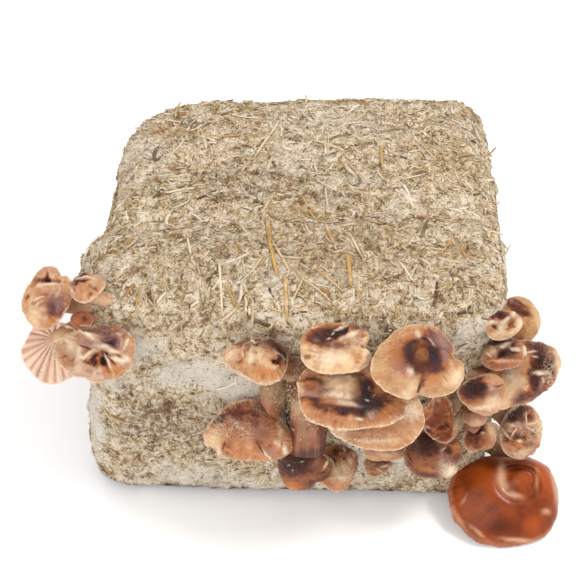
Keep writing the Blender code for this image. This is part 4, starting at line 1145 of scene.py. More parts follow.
def straw_piece(name, rings, sides, lift, bow):
    """A piece of straw one unit long, wide and thick, whose middle lifts and bows by these widths."""
    sections = [np.array((-0.5, 0, 0))]
    for x in np.linspace(-0.4, 0.4, rings):
        turns = np.arange(sides) * math.tau / sides + 0.5
        girth = 0.75 + 0.25 * (1 - (2 * x) ** 2)
        ring = np.stack((np.full(sides, x), 0.5 * girth * np.cos(turns), 0.5 * girth * np.sin(turns)), axis=1)
        sections.append(ring + (0, bow * (0.25 - x * x) * 4, lift * (0.25 - x * x) * 4))
    sections.append(np.array((0.5, 0, 0)))
    return tube_mesh(name, [s.tolist() for s in sections])


def crumb_piece(name, seed):
    """A small rough lump of a few faces."""
    sheet = bmesh.new()
    bmesh.ops.create_icosphere(sheet, subdivisions=1, radius=0.5)
    mesh = bpy.data.meshes.new(name)
    sheet.to_mesh(mesh)
    sheet.free()
    points = mesh_points(mesh) * MM
    set_points(mesh, points * (1 + 0.35 * lumps(points, 0.45, seed))[:, None] / MM)
    return mesh


# Sides of the block's skin by axis and direction, how much sooner a slope counts as top, and the heights
# in mm between which the bare foot passes into straw, and the share of straw that white or bare places lack
SKIN_SIDES = {"top": (2, 1), "front": (1, -1), "back": (1, 1), "left": (0, -1), "right": (0, 1)}
TOP_PREFERENCE = 1.15
BARE_FOOT = (6, 13)
STRAW_LACK = 0.6
# Loose pieces: rings and sides of a piece, and the lift and bow of each of its shapes
STRAW_SHAPES = {
    "fibre": (2, 3, ((0.9, 0.5), (0.4, -1.6), (-0.6, 1.2), (1.3, 2.6), (0.2, -3.2), (-0.2, 0.2))),
    "stalk": (5, 4, ((0.2, 0.3), (0.1, -0.6), (0.3, 1))),
    "chip": (3, 4, ((0.1, 0.2), (0.3, -0.5), (-0.2, 0.3))),
    "fuzz": (2, 3, ((0.9, 0.6), (0.6, -1.1), (-0.4, 1))),
}
# How loose pieces lie: tilt and roll in radians, then smallest and largest length, width and thickness in m
LIES = {
    "chips": (0.13, 0.35, (0.0025, 0.0008, 0.0004), (0.010, 0.0024, 0.0009)),
    "stalks": (0.08, 0.3, (0.007, 0.0011, 0.0006), (0.024, 0.0028, 0.0013)),
    "crumbs": (1.5, 1.5, (0.0007, 0.0007, 0.0005), (0.0028, 0.002, 0.0013)),
    "root_crumbs": (1.5, 1.5, (0.0006, 0.0006, 0.0004), (0.0026, 0.002, 0.0012)),
    "root_fuzz": (0.45, 0.6, (0.001, 0.0002, 0.0002), (0.0036, 0.0006, 0.0004)),
}
# Pieces on a square metre of the stems' skins, and the seeds of their places
ROOT_COVER = {"root_crumbs": (42000, 940), "root_fuzz": (520000, 900)}
# Share of a stem's length that is left clean inside the block
ROOT_FROM = 0.14
# Swathes of straw of one direction: how many to the metre, and how far pieces turn out of them in radians
SWATHES = 38
SWATHE_SPREAD = 0.9


def scatter_tree():
    """Geometry nodes that scatter the small pieces of a collection along a skin."""
    tree = bpy.data.node_groups.new("scatter_along_skin", "GeometryNodeTree")
    kinds = {
        "Skin": "NodeSocketGeometry", "Pieces": "NodeSocketCollection", "Count per Area": "NodeSocketFloat",
        "Smallest": "NodeSocketVector", "Largest": "NodeSocketVector", "Tilt": "NodeSocketFloat",
        "Roll": "NodeSocketFloat", "Seed": "NodeSocketInt", "Finish": "NodeSocketMaterial",
    }
    for name, kind in kinds.items():
        tree.interface.new_socket(name=name, in_out="INPUT", socket_type=kind)
    tree.interface.new_socket(name="Scattered", in_out="OUTPUT", socket_type="NodeSocketGeometry")
    nodes = Nodes(tree)
    given = nodes.add("NodeGroupInput").outputs
    cover = nodes.fill(nodes.add("GeometryNodeInputNamedAttribute", data_type="FLOAT"), Name="cover")
    density = nodes.times(given["Count per Area"], cover.outputs["Attribute"])
    places = nodes.add("GeometryNodeDistributePointsOnFaces", distribute_method="RANDOM")
    nodes.fill(places, Mesh=given["Skin"], Density=density, Seed=given["Seed"])

    def random_value(kind, low, high, step):
        node = nodes.add("FunctionNodeRandomValue", data_type=kind)
        sockets = [s for s in node.inputs if s.enabled]
        nodes.feed(sockets[0], low)
        nodes.feed(sockets[1], high)
        nodes.feed(node.inputs["Seed"], nodes.math("ADD", given["Seed"], step))
        return next(s for s in node.outputs if s.enabled)

    def turns(tilt, roll, spin):
        node = nodes.add("ShaderNodeCombineXYZ")
        for socket, value in zip(node.inputs, (roll, tilt, spin)):
            nodes.feed(socket, value)
        return node.outputs[0]

    where = nodes.add("GeometryNodeInputPosition").outputs[0]
    swathe = nodes.times(nodes.spots(where, SWATHES, 1), 4 * math.tau)
    lowest = turns(
        nodes.times(given["Tilt"], -1), nodes.times(given["Roll"], -1),
        nodes.math("SUBTRACT", swathe, SWATHE_SPREAD),
    )
    highest = turns(given["Tilt"], given["Roll"], nodes.math("ADD", swathe, SWATHE_SPREAD))
    turn = nodes.add("FunctionNodeEulerToRotation")
    nodes.feed(turn.inputs[0], random_value("FLOAT_VECTOR", lowest, highest, 1))
    lay = nodes.add("FunctionNodeRotateRotation", rotation_space="LOCAL")
    nodes.feed(lay.inputs[0], places.outputs["Rotation"])
    nodes.feed(lay.inputs[1], turn.outputs[0])
    pieces = nodes.add("GeometryNodeCollectionInfo")
    nodes.fill(pieces, Collection=given["Pieces"], Separate_Children=True, Reset_Children=True)
    sizes = random_value("FLOAT_VECTOR", given["Smallest"], given["Largest"], 2)
    laid = nodes.add("GeometryNodeInstanceOnPoints")
    nodes.fill(
        laid, Points=places.outputs["Points"], Instance=pieces.outputs["Instances"], Pick_Instance=True,
        Rotation=lay.outputs[0], Scale=sizes,
    )
    tone = nodes.add("GeometryNodeStoreNamedAttribute", data_type="FLOAT", domain="INSTANCE")
    nodes.fill(tone, Geometry=laid.outputs[0], Name="tone", Value=random_value("FLOAT", 0, 1, 3))
    real = nodes.fill(nodes.add("GeometryNodeRealizeInstances"), Geometry=tone.outputs[0])
    finish = nodes.add("GeometryNodeSetMaterial")
    nodes.fill(finish, Geometry=real.outputs[0], Material=given["Finish"])
    nodes.feed(nodes.add("NodeGroupOutput").inputs[0], finish.outputs[0])
    return tree


def skin_parts(mesh):
    """The block's skin as five sheets with the block's own masks, by the way their faces look."""
    points = mesh_points(mesh)
    looks = vectors(mesh.polygons, "normal")
    corners = np.empty(len(mesh.polygons) * 4, np.int32)
    mesh.loops.foreach_get("vertex_index", corners)
    corners = corners.reshape(-1, 4)
    masks = {tint: stored(mesh, tint) for tint in BLOCK_TINTS}
    steepest = (np.abs(looks) * (1, 1, TOP_PREFERENCE)).argmax(axis=1)
    parts = {}
    for name, (axis, sign) in SKIN_SIDES.items():
        chosen = corners[(steepest == axis) & (looks[:, axis] * sign > 0)]
        kept, places = np.unique(chosen, return_inverse=True)
        part = new_mesh(f"skin_{name}", points[kept], places.reshape(-1, 4))
        for tint, mask in masks.items():
            store(part, tint, mask[kept])
        cover = smooth_step(points[kept, 2], *BARE_FOOT) * (1 - STRAW_LACK * masks["white"][kept])
        store(part, "cover", cover * (1 - STRAW_LACK * smooth_step(masks["shade"][kept], 0.5, 1)))
        parts[name] = part
    return parts


def straw_material(settings):
    """Loose straw: each piece's own tone, with veins and stains, dusted like the block below it."""
    material, nodes, shader = new_material("straw")
    place = nodes.place()
    tone = nodes.attribute("tone")
    colour = nodes.colour_ramp(tone, (
        (0.0, TONES["black straw"]), (0.1, TONES["brown straw"]), (0.22, TONES["green straw"]),
        (0.4, settings.straw_colour), (0.56, TONES["tan straw"]), (0.74, settings.sawdust_colour),
        (0.88, TONES["pale straw"]), (0.93, TONES["golden straw"]), (1.0, TONES["amber straw"]),
    ))
    streaks = nodes.spots(place, 1400, 3)
    colour = nodes.tint(colour, streaks, 0.4, 0.7, 0.4, TONES["straw vein"])
    patchy = nodes.spots(place, 70, 3, 0.6)
    colour = nodes.tint(colour, patchy, 0.52, 0.66, 0.5, TONES["dusty straw"])
    colour = nodes.tint(colour, patchy, 0.46, 0.34, 0.3, TONES["dull straw"])
    colour = nodes.tint(colour, nodes.spots(place, 210, 3), 0.58, 0.66, 0.65, TONES["stain"])
    ochre = nodes.times(nodes.attribute("ochre"), nodes.ramp(tone, 0.3, 0.7))
    colour = nodes.mix(nodes.times(ochre, 0.65), colour, settings.ochre_colour)
    ragged = nodes.roughened(nodes.attribute("white"), nodes.spots(place, 260, 4, 0.7), 1.6)
    whiter = nodes.times(nodes.ramp(ragged, 0.15, 0.8), nodes.ramp(tone, 0.03, 0.25, 0.1, 0.7))
    colour = nodes.mix(whiter, colour, settings.mycelium_colour)
    colour = nodes.mix(nodes.times(nodes.attribute("shade"), 0.55), colour, TONES["shaded straw"])
    normal = nodes.bump(streaks, 0.0002, 0.6)
    nodes.fill(shader, Base_Color=colour, Roughness=0.7, Specular_IOR_Level=0.3, Normal=normal)
    return material


# Long stalks seen on the block's top: (middle across and deep, length in mm, turn in degrees, width in mm,
# tone from sawdust at 0.8 to amber at 1, share of ochre), then the rings and sides of each and its lift in mm
LAID_STALKS = (
    (-15, -42, 24, -85, 2.6, 1, 0.7), (-12, -66, 26, -79, 2.2, 0.95, 0.9), (-5, -88, 20, -86, 2, 0.93, 0.6),
    (19, -47, 18, -77, 2.2, 1, 0.5), (29, -75, 20, -86, 2.4, 0.95, 0.8), (51, 24, 20, -91, 1.8, 0.93, 0.7),
    (-17, 41, 37, 68, 1.5, 0.88, 0.5), (-40, -82, 24, -85, 1.5, 0.86, 0.5),
    (-34, -88, 14, -54, 1.5, 0.97, 0.5),
    (9, -26, 22, -63, 1.2, 0.93, 0.4), (11, -86, 20, -39, 1.3, 0.9, 0.6), (82, -57, 15, 59, 1.3, 0.93, 0.4),
    (92, -64, 13, -73, 1.6, 1, 0.5), (18, -82, 20, -42, 1.3, 0.95, 0.7), (20, 39, 16, 87, 1.2, 0.9, 0.4),
    (-21, -71, 12, 57, 1.2, 0.9, 0.6), (-83, 52, 13, 39, 1.6, 1, 0.4), (-50, 73, 8, 83, 1.5, 1, 0.3),
    (76, -30, 17, -22, 1.5, 1, 0), (-71, 14, 6, 80, 1.5, 1, 0), (-70, 71, 5, 20, 3, 1, 0),
    (-8, -64, 22, -66, 1.6, 0.9, 0.8), (34, -60, 20, -72, 1.2, 0.88, 0.6),
    (-58, -58, 15, -80, 1.2, 0.88, 0.4),
    (-64, -20, 14, 30, 1.2, 0.84, 0.4), (2, -84, 16, 64, 1.2, 0.9, 0.6), (60, -76, 16, -60, 1.2, 0.88, 0.4),
    (40, 60, 22, 12, 1.3, 0.86, 0.3), (-30, 64, 18, -18, 1.3, 0.88, 0.3), (70, 4, 18, 20, 1.2, 0.8, 0.2),
)
LAID_GRID = (13, 6)
LAID_LIFT = 0.7


def laid_stalks(skin):
    """The long stalks of the block's top, each lying along the skin below it."""
    points = mesh_points(skin)
    tree = BVHTree.FromPolygons(points.tolist(), [tuple(face.vertices) for face in skin.polygons])
    corners, faces, marks = [], [], {"tone": [], "ochre": []}
    rings, sides = LAID_GRID
    share = np.linspace(-0.5, 0.5, rings)
    turns = np.arange(sides) * math.tau / sides
    for across, deep, length, turn, width, tone, ochre in LAID_STALKS:
        ahead = np.array((math.cos(math.radians(turn)), math.sin(math.radians(turn)), 0))
        line = np.array((across, deep, 0)) + share[:, None] * length * ahead
        heights = [tree.ray_cast((x, y, 300), (0, 0, -1))[0] for x, y, _ in line]
        heights = np.array([0 if hit is None else hit[2] for hit in heights])
        bend = np.polyfit(share, heights, 3)
        line[:, 2] = np.polyval(bend, share) + LAID_LIFT
        girth = width / 2 * (0.55 + 0.45 * np.sqrt(np.clip(1 - (2 * share) ** 6, 0, 1)))
        beside = np.cross(ahead, (0, 0, 1))
        around = np.cos(turns)[:, None] * beside + 0.35 * np.sin(turns)[:, None] * np.array((0, 0, 1.0))
        first = len(corners)
        tube = line[:, None] + girth[:, None, None] * around
        bar = tube_mesh("stalk", [line[0] - 0.3 * ahead, *tube, line[-1] + 0.3 * ahead])
        corners.extend([tuple(corner.co) for corner in bar.vertices])
        faces.extend([tuple(first + corner for corner in face.vertices) for face in bar.polygons])
        marks["tone"] += [tone] * (len(corners) - first)
        marks["ochre"] += [ochre] * (len(corners) - first)
        bpy.data.meshes.remove(bar)
    mesh = new_mesh("laid_stalks", corners, faces)
    for name, values in marks.items():
        store(mesh, name, np.array(values))
    return mesh


# Pieces on the block's upright sides, where the straw is pressed flat, as a share of those on its top
SIDE_SHARE = {"fibres": 0.28, "chips": 0.14, "stalks": 0.25, "crumbs": 2.2}


def scatter(name, skin, tree, pieces, material, count, seed, lie):
    """Scatters pieces along a skin and makes the result a plain piece that rides on the block."""
    base = bpy.data.objects.new(name, skin)
    bpy.context.scene.collection.objects.link(base)
    modifier = base.modifiers.new("scatter", "NODES")
    modifier.node_group = tree
    sockets = {item.name: item.identifier for item in tree.interface.items_tree if item.in_out == "INPUT"}
    values = {"Pieces": pieces, "Finish": material, "Count per Area": count, "Seed": seed}
    values.update(zip(("Tilt", "Roll", "Smallest", "Largest"), lie))
    for label, value in values.items():
        modifier[sockets[label]] = value
    mesh = evaluated_mesh(base)
    base.modifiers.clear()
    bpy.data.objects.remove(base)
    if "sharp_face" in mesh.attributes:
        mesh.attributes.remove(mesh.attributes["sharp_face"])
    mesh.shade_smooth()
    mesh.name = name
    add_piece(name, mesh, material)


def piece_collection(name, meshes):
    made = bpy.data.collections.new(name)
    for mesh in meshes:
        made.objects.link(bpy.data.objects.new(mesh.name, mesh))
    return made


def straw_pieces(name):
    rings, sides, bends = STRAW_SHAPES[name]
    return piece_collection(name, [straw_piece(f"{name}_{i}", rings, sides, *b) for i, b in enumerate(bends)])


def crumb_pieces(name, count, seed):
    return piece_collection(name, [crumb_piece(f"{name}_{i}", seed + i) for i in range(count)])


def clear_collection(collection):
    for item in list(collection.objects):
        bpy.data.objects.remove(item)
    bpy.data.collections.remove(collection)


class GROWBLOCK_OT_straw(bpy.types.Operator):
    """Covers the pressed block with fine fibres, wide stalks and crumbs, scattered by geometry nodes"""

    bl_idname = "growblock.straw"
    bl_label = "Straw and crumbs"

    def execute(self, context):
        settings = context.scene.grow_block_straw
        material = straw_material(context.scene.grow_block_substrate)
        tree = scatter_tree()
        length, width = settings.fibre_length, settings.fibre_width
        smallest = (0.25 * length, 0.25 * width, 0.2 * width)
        fibres = (0.16, 0.5, smallest, (length, width, 0.5 * width))
        kinds = {
            "fibres": (straw_pieces("fibre"), settings.fibre_count, fibres),
            "chips": (straw_pieces("chip"), settings.chip_count, LIES["chips"]),
            "stalks": (straw_pieces("stalk"), settings.stalk_count, LIES["stalks"]),
            "crumbs": (crumb_pieces("crumb", 4, 20), settings.crumb_count, LIES["crumbs"]),
        }
        block = bpy.data.objects["substrate"].data
        for step, (side, skin) in enumerate(skin_parts(block).items()):
            for kind, (label, (pieces, count, lie)) in enumerate(kinds.items()):
                count *= SIDE_SHARE[label] if side != "top" else 1
                seed = settings.seed + 10 * step + kind
                scatter(f"{label}_{side}", skin, tree, pieces, material, count, seed, lie)
        add_piece("laid_stalks", laid_stalks(block), material)
        for pieces, count, lie in kinds.values():
            clear_collection(pieces)
        return {"FINISHED"}


def outline_reach(mushroom, angle):
    """How far the outline reaches at an angle, as a share of the plain ellipse, as in the part's source."""
    reach = np.ones_like(angle)
    for count, depth, turn in mushroom["lobes"]:
        reach += depth * np.cos(count * (angle - math.radians(turn)))
    for turn, depth, width in mushroom["dents"]:
        off = (angle - math.radians(turn) + math.pi) % math.tau - math.pi
        reach -= depth * hump(off, 0, math.radians(width))
    return reach


def dome_height(mushroom, share):
    """Height of the cap's top over its rim, before the waves, as in the part's source."""
    height = mushroom["rise"] * (1 - share ** mushroom["shoulder"]) + mushroom["curl"] * share**3
    if mushroom["knob"]:
        size, swelling, trench = mushroom["knob"]
        height += swelling * (1 - smooth_step(share, 0.6 * size, 1.2 * size))
        height -= trench * hump(share, 1.5 * size, 0.5 * size)
    return height


def cap_profile(mushroom, rings):
    """A cap's profile from its top over the rim to below: (share of the radius, mm under the dome)."""
    lip, flesh = mushroom["lip"], mushroom["flesh"]
    rounding = min(0.16, lip / sum(mushroom["half"]))
    top = [(share, 0) for share in np.linspace(0, 1, rings)[1:] ** 0.9 * (1 - rounding)]
    turns = np.linspace(0, math.pi, RIM_STEPS)[1:-1]
    rim = [(1 - rounding + rounding * math.sin(t), lip * (1 - math.cos(t)) / 2) for t in turns]
    under = []
    for share in np.linspace(1 - rounding, 0.08, rings // 2):
        sunk = (flesh * (1 - 0.4 * share) - lip) * smooth_step(1 - share, rounding, 0.45)
        under.append((share, lip + max(0, float(sunk))))
    return [(0, 0), *top, *rim, *under, (0, max(flesh, lip))]


def cap_place(mushroom):
    """Where a cap is, in mm, and which way it looks."""
    turn, rise = mushroom["face"]
    look = Euler((math.radians(90 - rise), 0, math.radians(turn))).to_matrix()
    return np.array(mushroom["at"], float), np.array(look)


def seen_place(points):
    """Where points in mm are seen in the photograph, in its pixels across and down."""
    off = points * MM - CAMERA_PLACE
    tilt = math.radians(CAMERA_DOWN)
    depth = off[:, 1] * math.cos(tilt) - off[:, 2] * math.sin(tilt)
    rise = off[:, 1] * math.sin(tilt) + off[:, 2] * math.cos(tilt)
    scale = CAMERA_LENS / CAMERA_SENSOR * PICTURE_SIZE / depth
    return PICTURE_SIZE / 2 + np.stack((off[:, 0] * scale, -rise * scale), axis=1)


def mark_share(seen, local, mark, seed):
    """How much of a mark lies on points of a cap, with a ragged edge."""
    across, down, length, width, turn = mark[:5]
    bow = sum(mark[7:])
    ragged = min(EDGE_MOST, EDGE_SHARE * width)
    x = seen[:, 0] - across + ragged * layered(local, MARK_EDGE, seed)
    y = down - seen[:, 1] + ragged * layered(local, MARK_EDGE, seed + 2)
    swing = math.radians(turn)
    u = (x * math.cos(swing) + y * math.sin(swing)) / length
    v = (y * math.cos(swing) - x * math.sin(swing) - bow * u * u) / width
    return np.exp(-((u * u + v * v) ** 1.2))


def crowding(points, normals, own=None):
    """How much of each point's outlook in mm the other caps fill, from 0 to 1, which sets the painted shade
    between the caps.
    """
    filled = np.zeros(len(points))
    for name, mushroom in MUSHROOMS.items():
        if name != own:
            at, look = cap_place(mushroom)
            off = at - points
            reach = np.linalg.norm(off, axis=1) + 1
            area = math.pi * mushroom["half"][0] * mushroom["half"][1]
            facing = np.clip(np.sum(off * normals, axis=1) / reach, 0, 1)
            turned = 0.3 + 0.7 * np.abs(off @ look[:, 2]) / reach
            filled += facing * turned * area / (math.pi * reach**2 + area)
    return np.minimum(filled, 1)


def closed_mesh(name, rings, first, last, sides):
    """A closed skin through rings of equal number, with a point at each end and its faces outwards."""
    points = np.concatenate(([first], np.reshape(rings, (-1, 3)), [last]))
    count = (len(points) - 2) // sides
    side = np.arange(sides)
    after = (side + 1) % sides
    starts = 1 + sides * np.arange(count - 1)[:, None]
    quads = np.stack((starts + side, starts + after, starts + sides + after, starts + sides + side), axis=-1)
    end = 1 + sides * (count - 1)
    fans = [(0, 1 + b, 1 + a) for a, b in zip(side, after)]
    fans += [(end + a, end + b, len(points) - 1) for a, b in zip(side, after)]
    mesh = new_mesh(name, points, [*quads.reshape(-1, 4).tolist(), *fans])
    sheet = bmesh.new()
    sheet.from_mesh(mesh)
    if sheet.calc_volume(signed=True) < 0:
        bmesh.ops.reverse_faces(sheet, faces=sheet.faces[:])
    sheet.to_mesh(mesh)
    sheet.free()
    mesh.shade_smooth()
    return mesh


def capped(values, first, last):
    """The values of a skin's rings with those of the points at its two ends."""
    return np.concatenate(([first], values, [last]))


def laid_marks(marks, seen, local, over, seed):
    """How much of each tint a cap's marks lay on its points, and how far they raise the skin."""
    masks = {tint: np.zeros_like(over) for tint in (*TINTS, "burn")}
    raised = np.zeros_like(over)
    seeds = itertools.count(seed, 4)
    for tint, group in marks.items():
        for mark in group:
            lies = mark_share(seen, local, mark, next(seeds)) * over
            strength, rise = mark[5:7]
            if tint in BURNS:
                masks["burn"] = 1 - (1 - masks["burn"]) * (1 - BURNS[tint] * strength * lies)
            if tint in TINTS:
                masks[tint] = np.maximum(masks[tint], strength * lies)
            raised += rise * lies
    return masks, raised


def cap_mesh(name, mushroom, crumple, marks, settings, seed):
    """A cap's skin with its round rim, wrinkles, gills and marks."""
    large = max(mushroom["half"]) >= LARGE_FROM
    around, rings = LARGE_GRID if large else SMALL_GRID
    gills = mushroom["gills"] or (settings.gills if large else round(settings.gills * SMALL_GILLS))
    sides = gills * round(around / gills)
    profile = np.array(cap_profile(mushroom, rings))
    share, drop = (capped(np.repeat(column[1:-1], sides), 0, column[-1]) for column in profile.T)
    angle = capped(np.tile(np.arange(sides) * math.tau / sides, len(profile) - 2), 0, 0)
    ring = capped(np.repeat(np.arange(1, len(profile) - 1), sides), 0, len(profile))
    widest = profile[:, 0].argmax()
    over = 1 - smooth_step(ring, widest - 1.0, widest + 2.0)
    swings = np.stack((np.cos(angle), np.sin(angle)), axis=1)
    round_about = np.column_stack((swings * 5, np.zeros_like(share)))
    reach = share * (1 + (outline_reach(mushroom, angle) - 1) * share)
    reach *= 1 + share**4 * layered(round_about, RIM_WOBBLE, seed)
    half, apex = np.array(mushroom["half"]), np.array(mushroom["apex"])
    flat = half * (reach[:, None] * swings + apex * (1 - share[:, None]))
    count, height, turn = mushroom["wave"]
    z = dome_height(mushroom, share) - drop + height * share**2 * np.cos(count * (angle - math.radians(turn)))
    local = np.column_stack((flat, z))
    at, look = cap_place(mushroom)
    points = at + local @ look.T
    mesh = closed_mesh(name, points[1:-1], points[0], points[-1], sides)
    wrinkles = layered(np.column_stack((swings * 6, share * 1.4)), CAP_WRINKLES, seed)
    warped = local + drift(local, 1.6, 5, seed + 7)
    folds = 0.75 - 2.8 * np.abs(lumps(warped, 5.2, seed + 4)) + 0.7 * lumps(warped, 2.3, seed + 5)
    folds *= 1 - 0.6 * smooth_step(share, 0.75, 1)
    streaked = wrinkles * smooth_step(share, 0.2, 0.95) * smooth_step(crumple, 0.1, 0.5)
    relief = settings.wrinkle * over * (folds * crumple + streaked)
    relief += 0.7 * over * lumps(local, 9, seed + 4) * smooth_step(crumple, 0, 0.3)
    height = np.clip(relief, *FOLD_SPAN)
    masks, raised = laid_marks(marks, seen_place(points), local, over, seed + 10)
    between = np.cos(gills * angle + 0.8 * lumps(round_about, 1, seed + 6)) + 0.3 * np.cos(3 * gills * angle)
    ribs = between * (1 - over) * smooth_step(share, 0.1, 0.4) * (1 - smooth_step(share, *GILL_ENDS))
    relief += raised + GILL_HEIGHT * ribs
    normals = mesh_normals(mesh)
    # share of the outlook that the other caps fill, by which shade is painted on this cap
    masks["crowd"] = crowding(points, normals, name.removesuffix("_skin"))
    set_points(mesh, points + normals * relief[:, None])
    for tint, mask in masks.items():
        store(mesh, tint, mask)
    store(mesh, "height", height)
    store(mesh, "over", over)
    store(mesh, "rim", smooth_step(share, *RIM_SPAN))
    store(mesh, "rib", ribs)
    store(mesh, "grain", np.column_stack((swings, share)))
    return mesh


def cap_material(name, skin, freckles, settings):
    """A cap's skin in its own colour, burnt through amber and brown to black, with tints and freckles, painted
    shade in its folds, painted light on their crests and painted shade where other caps crowd near.
    """
    material, nodes, shader = new_material(name)
    place = nodes.place()
    grain = nodes.attribute("grain", "Vector")
    streaks = nodes.spots(nodes.scaled(grain, (26, 26, 5)), 1, 4, 0.65)
    blotches = nodes.ramp(nodes.spots(place, 130, 4, 0.6), 0.34, 0.62)
    mottle = nodes.spots(place, 420, 3, 0.6)
    fine = nodes.spots(place, 1400, 3, 0.65)
    height = nodes.attribute("height")
    rim = nodes.attribute("rim")
    base = linear(skin)
    colour = nodes.mix(blotches, toned(base, (0.72, 0.56, 0.45)), toned(base, (1.06, 1.05, 0.98)))
    colour = nodes.tint(colour, streaks, 0.45, 0.72, 0.35, toned(base, (0.62, 0.42, 0.34)))
    unrest = nodes.times(nodes.math("SUBTRACT", nodes.math("ADD", mottle, streaks), 1), 0.5)
    unrest = nodes.roughened(unrest, fine, 0.4)
    burn = nodes.attribute("burn")
    burn = nodes.math("MULTIPLY_ADD", nodes.times(unrest, 1.5), nodes.ramp(burn, 0, 0.3), burn)
    # painted shade: the skin burns darker the deeper a fold sinks
    burn = nodes.math("MULTIPLY_ADD", nodes.ramp(height, 0, -2), 0.75, burn)
    colour = nodes.tint(colour, burn, 0.02, 0.36, 1, settings.amber)
    colour = nodes.tint(colour, burn, 0.26, 0.6, 1, settings.brown)
    colour = nodes.tint(colour, burn, 0.55, 1.05, 1, settings.dark)
    bruise = nodes.times(nodes.attribute("ink"), nodes.ramp(burn, 0.5, 1, 0, 0.6))
    # painted shade where the other caps crowd over this one
    colour = nodes.shaded_by_crowding(nodes.mix(bruise, colour, settings.ink))
    for tint in ("orange", "mauve", "gold", "cream", "pale"):
        mask = nodes.attribute(tint)
        stir = nodes.times(unrest, nodes.ramp(mask, 0, 0.3, 0, 2.2))
        colour = nodes.mix(nodes.math("ADD", stir, mask, clamp=True), colour, getattr(settings, tint))
    warp = nodes.add("ShaderNodeVectorMath", operation="MULTIPLY_ADD")
    for socket, value in zip(warp.inputs, (nodes.colour_noise(place, 340), (0.002, 0.002, 0.002), place)):
        nodes.feed(socket, value)
    gaps = nodes.ramp(nodes.cell_edges(warp.outputs[0], 540), 0.03, 0.2, 1, 0)
    broken = nodes.ramp(nodes.spots(place, 420, 3), 0.4, 0.6, 0.15, 1)
    net = nodes.times(nodes.times(gaps, broken), nodes.ramp(nodes.attribute("crackle"), 0.1, 0.8, 0, 0.5))
    colour = nodes.mix(net, colour, settings.pale)
    # painted light: the skin turns pale on the crests of its folds
    painted_crest_light = nodes.times(nodes.ramp(height, 0.3, 1.6, 0, 0.6), nodes.ramp(burn, 0.9, 0.3))
    colour = nodes.mix(painted_crest_light, colour, settings.pale)
    colour = nodes.tint(colour, nodes.spots(place, 1000, 2, 0.6), 0.56, 0.66, 0.7 * freckles, settings.brown)
    cracks = nodes.ramp(nodes.spots(nodes.scaled(grain, (34, 34, 7)), 1), 0.56, 0.68)
    cracks = nodes.times(cracks, nodes.ramp(rim, 0.05, 0.7, 0, 0.3 + 0.4 * freckles))
    colour = nodes.mix(cracks, colour, settings.pale)
    glow = nodes.times(nodes.ramp(rim, 0.1, 0.7, 0, 0.22), nodes.ramp(burn, 0.5, 0.1))
    colour = nodes.mix(glow, colour, settings.gold_rim)
    edge = nodes.math("MULTIPLY_ADD", unrest, 0.8, rim)
    colour = nodes.tint(colour, edge, 0.86, 1.08, 0.85, settings.pale)
    # painted shade between the gills and painted light on their edges
    colour = nodes.gilled(colour, toned(base, (0.86, 0.86, 0.86)), TONES["pale gill"])
    relief = nodes.math("ADD", nodes.times(streaks, 1.1), nodes.times(fine, 0.5))
    relief = nodes.math("ADD", mottle, relief)
    nodes.fill(
        shader, Base_Color=colour, Normal=nodes.bump(relief, 0.0014, 0.8), Specular_IOR_Level=0.35,
        Roughness=nodes.ramp(nodes.math("SUBTRACT", burn, unrest), 0.1, 0.9, 0.5, 0.16),
        Subsurface_Weight=0.08, Subsurface_Radius=(1, 0.45, 0.25), Subsurface_Scale=0.002,
    )
    return material


def foot_cap_material():
    """The wet amber cap at the block's foot, with a painted highlight round its knob and painted shade between
    its gills.
    """
    material, nodes, shader = new_material("wet_amber_cap")
    grain = nodes.attribute("grain", "Vector")
    streaks = nodes.spots(nodes.scaled(grain, (18, 18, 2)), 1, 3, 0.6)
    clouds = nodes.spots(nodes.place(), 70, 4, 0.6)
    colour = nodes.mix(nodes.ramp(clouds, 0.35, 0.65), TONES["deep amber"], TONES["clear amber"])
    colour = nodes.tint(colour, streaks, 0.45, 0.75, 0.3, TONES["amber streak"])
    for tint, tone in WET_TINTS.items():
        colour = nodes.mix(nodes.times(nodes.attribute(tint), 0.85), colour, tone)
    colour = nodes.tint(colour, nodes.attribute("rim"), 0.7, 1, 0.3, TONES["amber rim"])
    # painted shade between the gills and painted light on their edges
    colour = nodes.gilled(colour, TONES["amber gill"], TONES["light amber gill"])
    nodes.fill(
        shader, Base_Color=colour, Normal=nodes.bump(clouds, 0.0006, 0.3), Roughness=0.3,
        Specular_IOR_Level=0.12, Subsurface_Weight=0.25, Subsurface_Radius=(1, 0.35, 0.15),
        Subsurface_Scale=0.005, Coat_Weight=0.16, Coat_Roughness=0.1,
    )
    return material


class GROWBLOCK_OT_caps(bpy.types.Operator):
    """Makes each mushroom's cap with its rim, wrinkles, gills and coloured zones"""

    bl_idname = "growblock.caps"
    bl_label = "Caps"

    def execute(self, context):
        settings = context.scene.grow_block_mushrooms
        for step, (name, mushroom) in enumerate(MUSHROOMS.items()):
            skin, freckles, crumple, marks = CAP_SKINS[name]
            mesh = cap_mesh(f"{name}_skin", mushroom, crumple, marks, settings, 100 * (step + 1))
            if name == "foot":
                material, slot = foot_cap_material(), "foot_cap"
            else:
                material, slot = cap_material(f"cap_skin_{name}", skin, freckles, settings), "cap"
            add_piece(f"{name}_skin", mesh, material, [f"{name}_cap"])
        return {"FINISHED"}


